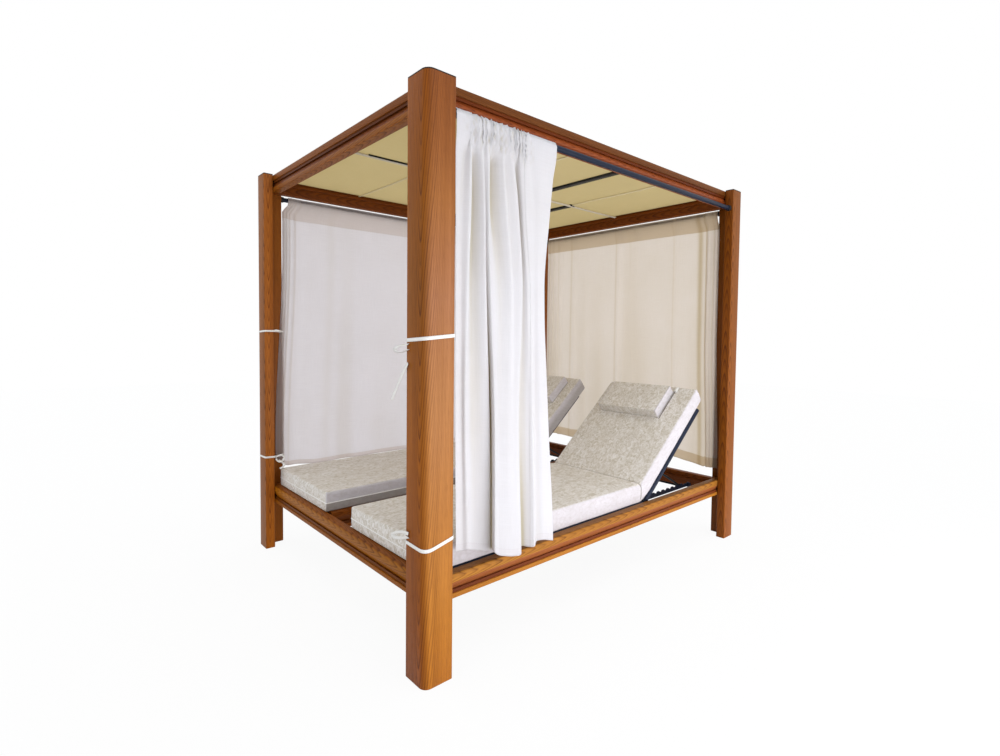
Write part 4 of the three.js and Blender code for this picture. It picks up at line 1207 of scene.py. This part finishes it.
def add_mattress(name, side):
    axis_y = side * (BAY_EDGE - PAD_GAP - PAD_HALF.y)
    shape = foam_block(63)
    for vertex in shape.verts:
        vertex.co = (crowded_length(vertex.co.x), gathered_ends(vertex.co.y), gathered_ends(vertex.co.z, 1.6))
    map_cloth(shape, 1.99, 2 * PAD_HALF.y, PAD_THICK)
    seam = shape.verts.layers.float.new("seam")
    for vertex in shape.verts:
        vertex.co, vertex[seam] = pad_place(vertex.co, axis_y)
    mark_walls(shape, PAD_HALF.y, axis_y)
    pad = finished_piece(f"{name}_mattress", shape, "pad_cloth", body=None,
                         replaces=[f"{name}_seat_pad", f"{name}_fold_pad", f"{name}_back_pad"], smooth=0)
    soft_rims(pad)
    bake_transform(pad)
    foot, edge = PAD_FOOT + 0.0005, PAD_HALF.y + 0.0002
    path = [
        (CREASE_X - 0.004, -edge), (foot + 0.006, -edge), (foot + 0.0015, 0.0015 - edge), (foot, 0.006 - edge),
        (foot - 0.0014, 0.0), (foot, edge - 0.006), (foot + 0.0015, edge - 0.0015),
        (foot + 0.02, edge - 0.001),
    ]
    cord = bmesh.new()
    tube_along(cord, [Vector((x, axis_y + side * y, PAD_BOTTOM + 0.042)) for x, y in path], 0.0032, 10)
    finished_piece(f"{name}_mattress_piping", cord, "pad_cloth", finish=FINISHES["tape"])


def crowded_length(t):
    """Lengthwise rows of the mattress, close together at both ends and at the fold."""
    fold, split = 2 * FOLD_SHARE - 1, 0.25
    (low, start), (high, end) = ((-1, -1), (split, fold)) if t < split else ((split, fold), (1, 1))
    local = (t - low) / (high - low) * 2 - 1
    return start + (gathered_ends(local, 2.4) + 1) / 2 * (end - start)


PAD_GAP = 0.005  # between a mattress and the beam beside it
PILLOW_HALF = Vector((0.1075, 0.206, 0.029))
PILLOW_RIM = 0.0045
PILLOW_PLACE = 0.612  # its middle, up the backrest


def pillow_place(co, side, middle):
    """A point of the pillow from its place in the foam block, and how much painted shade it gets there."""
    point = rounded([co[k] * PILLOW_HALF[k] for k in range(3)], PILLOW_HALF, (PILLOW_RIM,) * 3)
    u, v, t = (point[k] / PILLOW_HALF[k] for k in range(3))
    puff = 0.005 * (1 - u ** 4) * (1 - v ** 4) * max(t, 0.0)
    mid = 1 - t * t
    along = PILLOW_PLACE + point.x + math.copysign(0.002, u) * mid * (1 - v * v) * abs(u) ** 6
    across = middle + point.y + math.copysign(0.002, v) * mid * (1 - u * u) * abs(v) ** 6
    out = PAD_HIGH - 0.003 + point.z + PILLOW_HALF.z + puff + 0.001 * lump(u * 3, v * 5, side * 4)
    # Painted shade under the pillow's bottom rim and on its lower end.
    seam = max(0.75 * smooth_step(-0.70, -0.92, t), 0.22 * smooth_step(0.94, 0.99, -u))
    return on_backrest(along, out, across), seam


def add_pillow(name, side):
    outer = side * (BAY_EDGE - PAD_GAP - 0.132)
    middle = outer - side * PILLOW_HALF.y
    shape = foam_block(35)
    for vertex in shape.verts:
        vertex.co = [gathered_ends(p, power) for p, power in zip(vertex.co, (2.2, 2.2, 1.6))]
    map_cloth(shape, 0.215, 0.40, 0.05)
    seam = shape.verts.layers.float.new("seam")
    for vertex in shape.verts:
        vertex.co, vertex[seam] = pillow_place(vertex.co, side, middle)
    mark_walls(shape, PILLOW_HALF.y, middle)
    pillow = finished_piece(f"{name}_head_pillow", shape, "pad_cloth", body=f"{name}_backrest",
                            replaces=[f"{name}_pillow"], smooth=0)
    soft_rims(pillow)
    add_strap(name, outer + side * 0.0075)


def add_strap(name, across):
    """The elastic that holds the pillow: a dark cord beside it, and a white loop over the top edge of the
    pad."""
    high, low, end = PAD_HIGH, BACK_PAD_LOW, BACK_PAD_END
    cord = bmesh.new()
    line = ((0.500, high - 0.001), (0.60, high + 0.001), (0.70, high + 0.001), (0.748, high + 0.001))
    tube_along(cord, [on_backrest(along, out, across) for along, out in line], 0.0026)
    finished_piece(f"{name}_pillow_cord", cord, "pad_cloth", body=f"{name}_backrest", smooth=60,
                   finish=ELASTIC)
    path = [on_backrest(along, out, across) for along, out in (
        (0.722, high + 0.001), (0.734, high + 0.003), (0.750, high + 0.006), (0.762, high + 0.003),
        (end + 0.003, high - 0.006), (end + 0.004, high - 0.03), (end + 0.004, low + 0.02),
        (end + 0.001, low + 0.002), (end - 0.02, low - 0.001),
    )]
    shape = bmesh.new()
    ribbon(shape, path, 0.030, [(0, 1, 0)] * len(path))
    strap = finished_piece(f"{name}_pillow_elastic", shape, "pad_cloth", body=f"{name}_backrest", smooth=60,
                           finish=FINISHES["tape"])
    thickened(strap, 0.0014)


# Tapes tied round the posts at the foot end
def ribbon(shape, path, width, ups):
    """A flat tape along path: ups gives its width direction at each point."""
    layer = shape.loops.layers.uv.get("cloth") or shape.loops.layers.uv.new("cloth")
    along = 0.0
    rows = []
    for index, (point, up) in enumerate(zip(path, ups)):
        along += (point - path[index - 1]).length if index else 0.0
        rows.append(([shape.verts.new(point + Vector(up) * width * half) for half in (-0.5, 0.5)], along))
    for ((a, b), start), ((c, d), end) in zip(rows, rows[1:]):
        face = shape.faces.new((a, c, d, b))
        for loop, uv in zip(face.loops, ((start, 0), (end, 0), (end, width), (start, width))):
            loop[layer].uv = uv


def post_loop(corner, height):
    """Points round a post's outside, closed across its open inner corner. height(place) gives z."""
    outline = bmesh.new()
    off = 0.0016
    flange, inner = POST_FLANGE + off, POST_THICK + 0.4 * off
    outline_face(outline, [
        (-off, -off, POST_ROUND + off), (flange, -off, 0.004), (flange, inner, 0.004), (inner, flange, 0.004),
        (-off, flange, 0.004),
    ], 10)
    points = [v.co.copy() for v in next(iter(outline.faces)).verts]
    outline.free()
    closed = points + points[:1]
    lengths = [path_length(closed[:count + 1]) for count in range(len(closed))]
    steps = 72
    path = []
    for step in range(steps + 1):
        target = lengths[-1] * step / steps
        k = max(i for i in range(len(closed) - 1) if lengths[i] <= target + 1e-9)
        f = (target - lengths[k]) / max(lengths[k + 1] - lengths[k], 1e-9)
        path.append(corner_matrix(corner) @ closed[k].lerp(closed[k + 1], f))
        path[-1].z = height(path[-1])
    return path


# The height of each tape at the post's corner, how it changes along x and y, and how it sags at the corner
TIE_HEIGHTS = {
    "foot_near_upper": (1.209, 0.09, -0.06, 0.0),
    "foot_near_lower": (0.4845, 0.256, 0.05, 1.0),
    "foot_far_upper": (1.2245, 0.0, 0.05, 0.0),
    "foot_far_lower": (0.5165, -0.05, 0.04, 0.0),
}
# The bows and loose ends: points in millimetres from the post's outer foot corner of the near side, each with
# how far the tape is turned there, in degrees, from flat on to edge on
TIE_ENDS = {
    "foot_near_upper": (
        ((-5, 100, 1188, 72), (-7, 122, 1185, 66), (-9, 150, 1181, 60), (-12, 172, 1174, 20),
         (-12, 179, 1169, 0), (-10, 168, 1162, 45), (-9, 143, 1159, 74), (-6, 122, 1163, 70),
         (-5, 100, 1170, 60)),
        ((-5, 103, 1123, 70), (-8, 118, 1100, 40), (-9, 133, 1079, 30), (-9, 150, 1059, 45),
         (-8, 169, 1035, 55), (-8, 187, 1011, 40), (-8, 204, 985, 35)),
    ),
    "foot_near_lower": (
        ((-5, 96, 524, 10), (-9, 125, 523, 0), (-12, 155, 515, 0), (-14, 180, 503, 0),
         (-14, 187, 496, 0), (-12, 172, 491, 0), (-10, 150, 495, 0), (-8, 125, 502, 10),
         (-5, 96, 512, 20)),
    ),
    "foot_far_upper": (
        ((52, 1598, 1234, 50), (62, 1596, 1234, 20), (78, 1598, 1231, 0), (90, 1602, 1228, 20),
         (98, 1604, 1224, 60)),
    ),
    "foot_far_lower": (
        ((54, 1597, 514, 50), (66, 1592, 522, 30), (84, 1590, 524, 0), (98, 1590, 512, 0),
         (92, 1590, 496, 0), (76, 1590, 488, 20), (62, 1592, 496, 40), (56, 1597, 508, 60)),
        ((70, 1592, 500, 40), (88, 1590, 482, 20), (100, 1590, 468, 10), (90, 1590, 456, 20),
         (74, 1592, 448, 40)),
    ),
}
BOW_FRONT = Vector((-0.51, -0.86, 0.0))  # the way the bows face
TAPE_STEPS = 40
TAPE_THICK = 0.0011


def add_ties():
    for name, (height, by_x, by_y, sag) in TIE_HEIGHTS.items():
        corner = name.rsplit("_", 1)[0]
        side = CORNERS[corner][1]

        def level(p):
            dx, dy = p.x + BED_X, BED_Y - side * p.y
            lift = math.sqrt(dx * dx + 0.02 ** 2) - 0.02 if sag else dx
            rise = math.sqrt(dy * dy + 0.03 ** 2) - 0.03 if sag else dy
            return height + by_x * lift + by_y * rise

        path = post_loop(corner, level)
        shape = bmesh.new()
        wide = 0.0125 if corner == "foot_near" else 0.010
        ribbon(shape, path, wide, [(0, 0, 1)] * len(path))
        length = path_length(path)
        for loose in TIE_ENDS[name]:
            spots = [Vector((x * MM - BED_X, y * MM - BED_Y, z * MM)) for x, y, z, _ in loose]
            fine = [k / TAPE_STEPS for k in range(TAPE_STEPS + 1)]
            curve = [Vector([blend_values([s[axis] for s in spots], t) for axis in range(3)]) for t in fine]
            width = []
            for k, t in enumerate(fine):
                ahead = (curve[min(k + 1, TAPE_STEPS)] - curve[max(k - 1, 0)]).normalized()
                turn = math.radians(blend_values([angle for *_, angle in loose], t))
                flat_on = ahead.cross(BOW_FRONT).normalized()
                width.append(flat_on * math.cos(turn) + ahead.cross(flat_on) * math.sin(turn))
            ribbon(shape, curve, wide, width)
            length += path_length(curve)
        bmesh.ops.remove_doubles(shape, verts=shape.verts[:], dist=1e-6)
        bmesh.ops.recalc_face_normals(shape, faces=shape.faces[:])
        tape = finished_piece(f"tape_{name}", shape, "tape", replaces=[f"tie_{name}"], smooth=0)
        thickened(tape, TAPE_THICK)


def dress_cad_nodes():
    """The nodes that keep their own shape take the finish of their slot."""
    for name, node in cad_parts.items():
        for kind, finish in (
            ("bracket", "galvanised"), ("roof_c", "black_bar"), ("seat_frame", "blue_tube"),
            ("hinge_rod", "black_steel"), ("prop", "black_steel"),
        ):
            if kind in name and name != "roof_cloth":
                for slot in node.material_slots:
                    slot.material = FINISHES[finish]


# Floor, light and camera
SKY_LIGHT = 0.84  # how strong the backdrop is as a light, where 1 is how strong it looks
FLOOR_GLOW = 0.93


def seen_plainly(g):
    """1 for the rays that show the backdrop itself, and 0 for the light that it casts."""
    path = g.add("LightPath").outputs
    mirrored = g.math("MAXIMUM", path["Is Glossy Ray"], path["Is Transmission Ray"])
    return g.math("MAXIMUM", path["Is Camera Ray"], mirrored)


def set_stage():
    world = bpy.data.worlds.new("studio")
    bpy.context.scene.world = world
    world.use_nodes = True
    g = Nodes(world.node_tree)
    background = world.node_tree.nodes["Background"].inputs
    seen = seen_plainly(g)
    g.give(background["Color"], g.mix(seen, (0.95, 0.975, 1.0, 1.0), (1.0, 1.0, 1.0, 1.0)))
    g.give(background["Strength"], g.times(seen, 1.0 - SKY_LIGHT, SKY_LIGHT))

    bpy.ops.mesh.primitive_plane_add(size=24, location=(0, 0, 0))
    floor = bpy.context.object
    floor.name = "studio_floor"
    finish = bpy.data.materials.new("studio floor")
    finish.use_nodes = True
    g = Nodes(finish.node_tree)
    nodes = finish.node_tree.nodes
    nodes.remove(nodes["Principled BSDF"])
    matte = g.add("BsdfDiffuse", {"Color": grey(0.86)})
    glow = g.add("Emission", {"Color": grey(1.0), "Strength": 1.0})
    amount = g.times(seen_plainly(g), FLOOR_GLOW)
    blend = g.add("MixShader", {0: amount, 1: matte.outputs[0], 2: glow.outputs[0]})
    g.give(nodes["Material Output"].inputs["Surface"], blend.outputs[0])
    floor.data.materials.append(finish)

    window = bpy.data.lights.new("soft window", "AREA")
    window.shape = "RECTANGLE"
    window.size = 3.2
    window.size_y = 0.9
    window.energy = 58
    window.color = (0.965, 0.965, 1.0)
    lamp = new_object("soft window", window)
    lamp.location = (0.3, -3.2, 0.28)
    lamp.rotation_euler = Vector((0.0, 1.0, 0.03)).to_track_quat("-Z", "Z").to_euler()
    overhead = bpy.data.lights.new("soft overhead", "SUN")
    overhead.energy = 0.9
    overhead.angle = math.radians(60)
    lamp = new_object("soft overhead", overhead)
    lamp.rotation_euler = Vector((-0.1, 0.35, -1.0)).to_track_quat("-Z", "Y").to_euler()
    bpy.context.scene.view_settings.view_transform = "Standard"


def set_camera():
    data = bpy.data.cameras.new("camera")
    data.sensor_width = 36
    data.sensor_fit = "HORIZONTAL"
    data.lens = 19.3255
    data.shift_x = 0.000521
    data.shift_y = -0.021772
    camera = new_object("camera", data)
    camera.location = (-2.13602, -2.35988, 1.22621)
    camera.rotation_euler = [math.radians(a) for a in (87.6481, -0.6131, -41.4066)]
    bpy.context.scene.camera = camera


set_camera()
add_posts()
add_beams()
add_rods()
add_roof_cloth()
add_roof_bars()
add_near_curtain()
add_spread_curtains()
for lounger, hand in (("near", -1), ("far", 1)):
    add_mattress(lounger, hand)
    add_pillow(lounger, hand)
    add_backrest_frame(lounger, hand)
add_ties()
dress_cad_nodes()
set_stage()
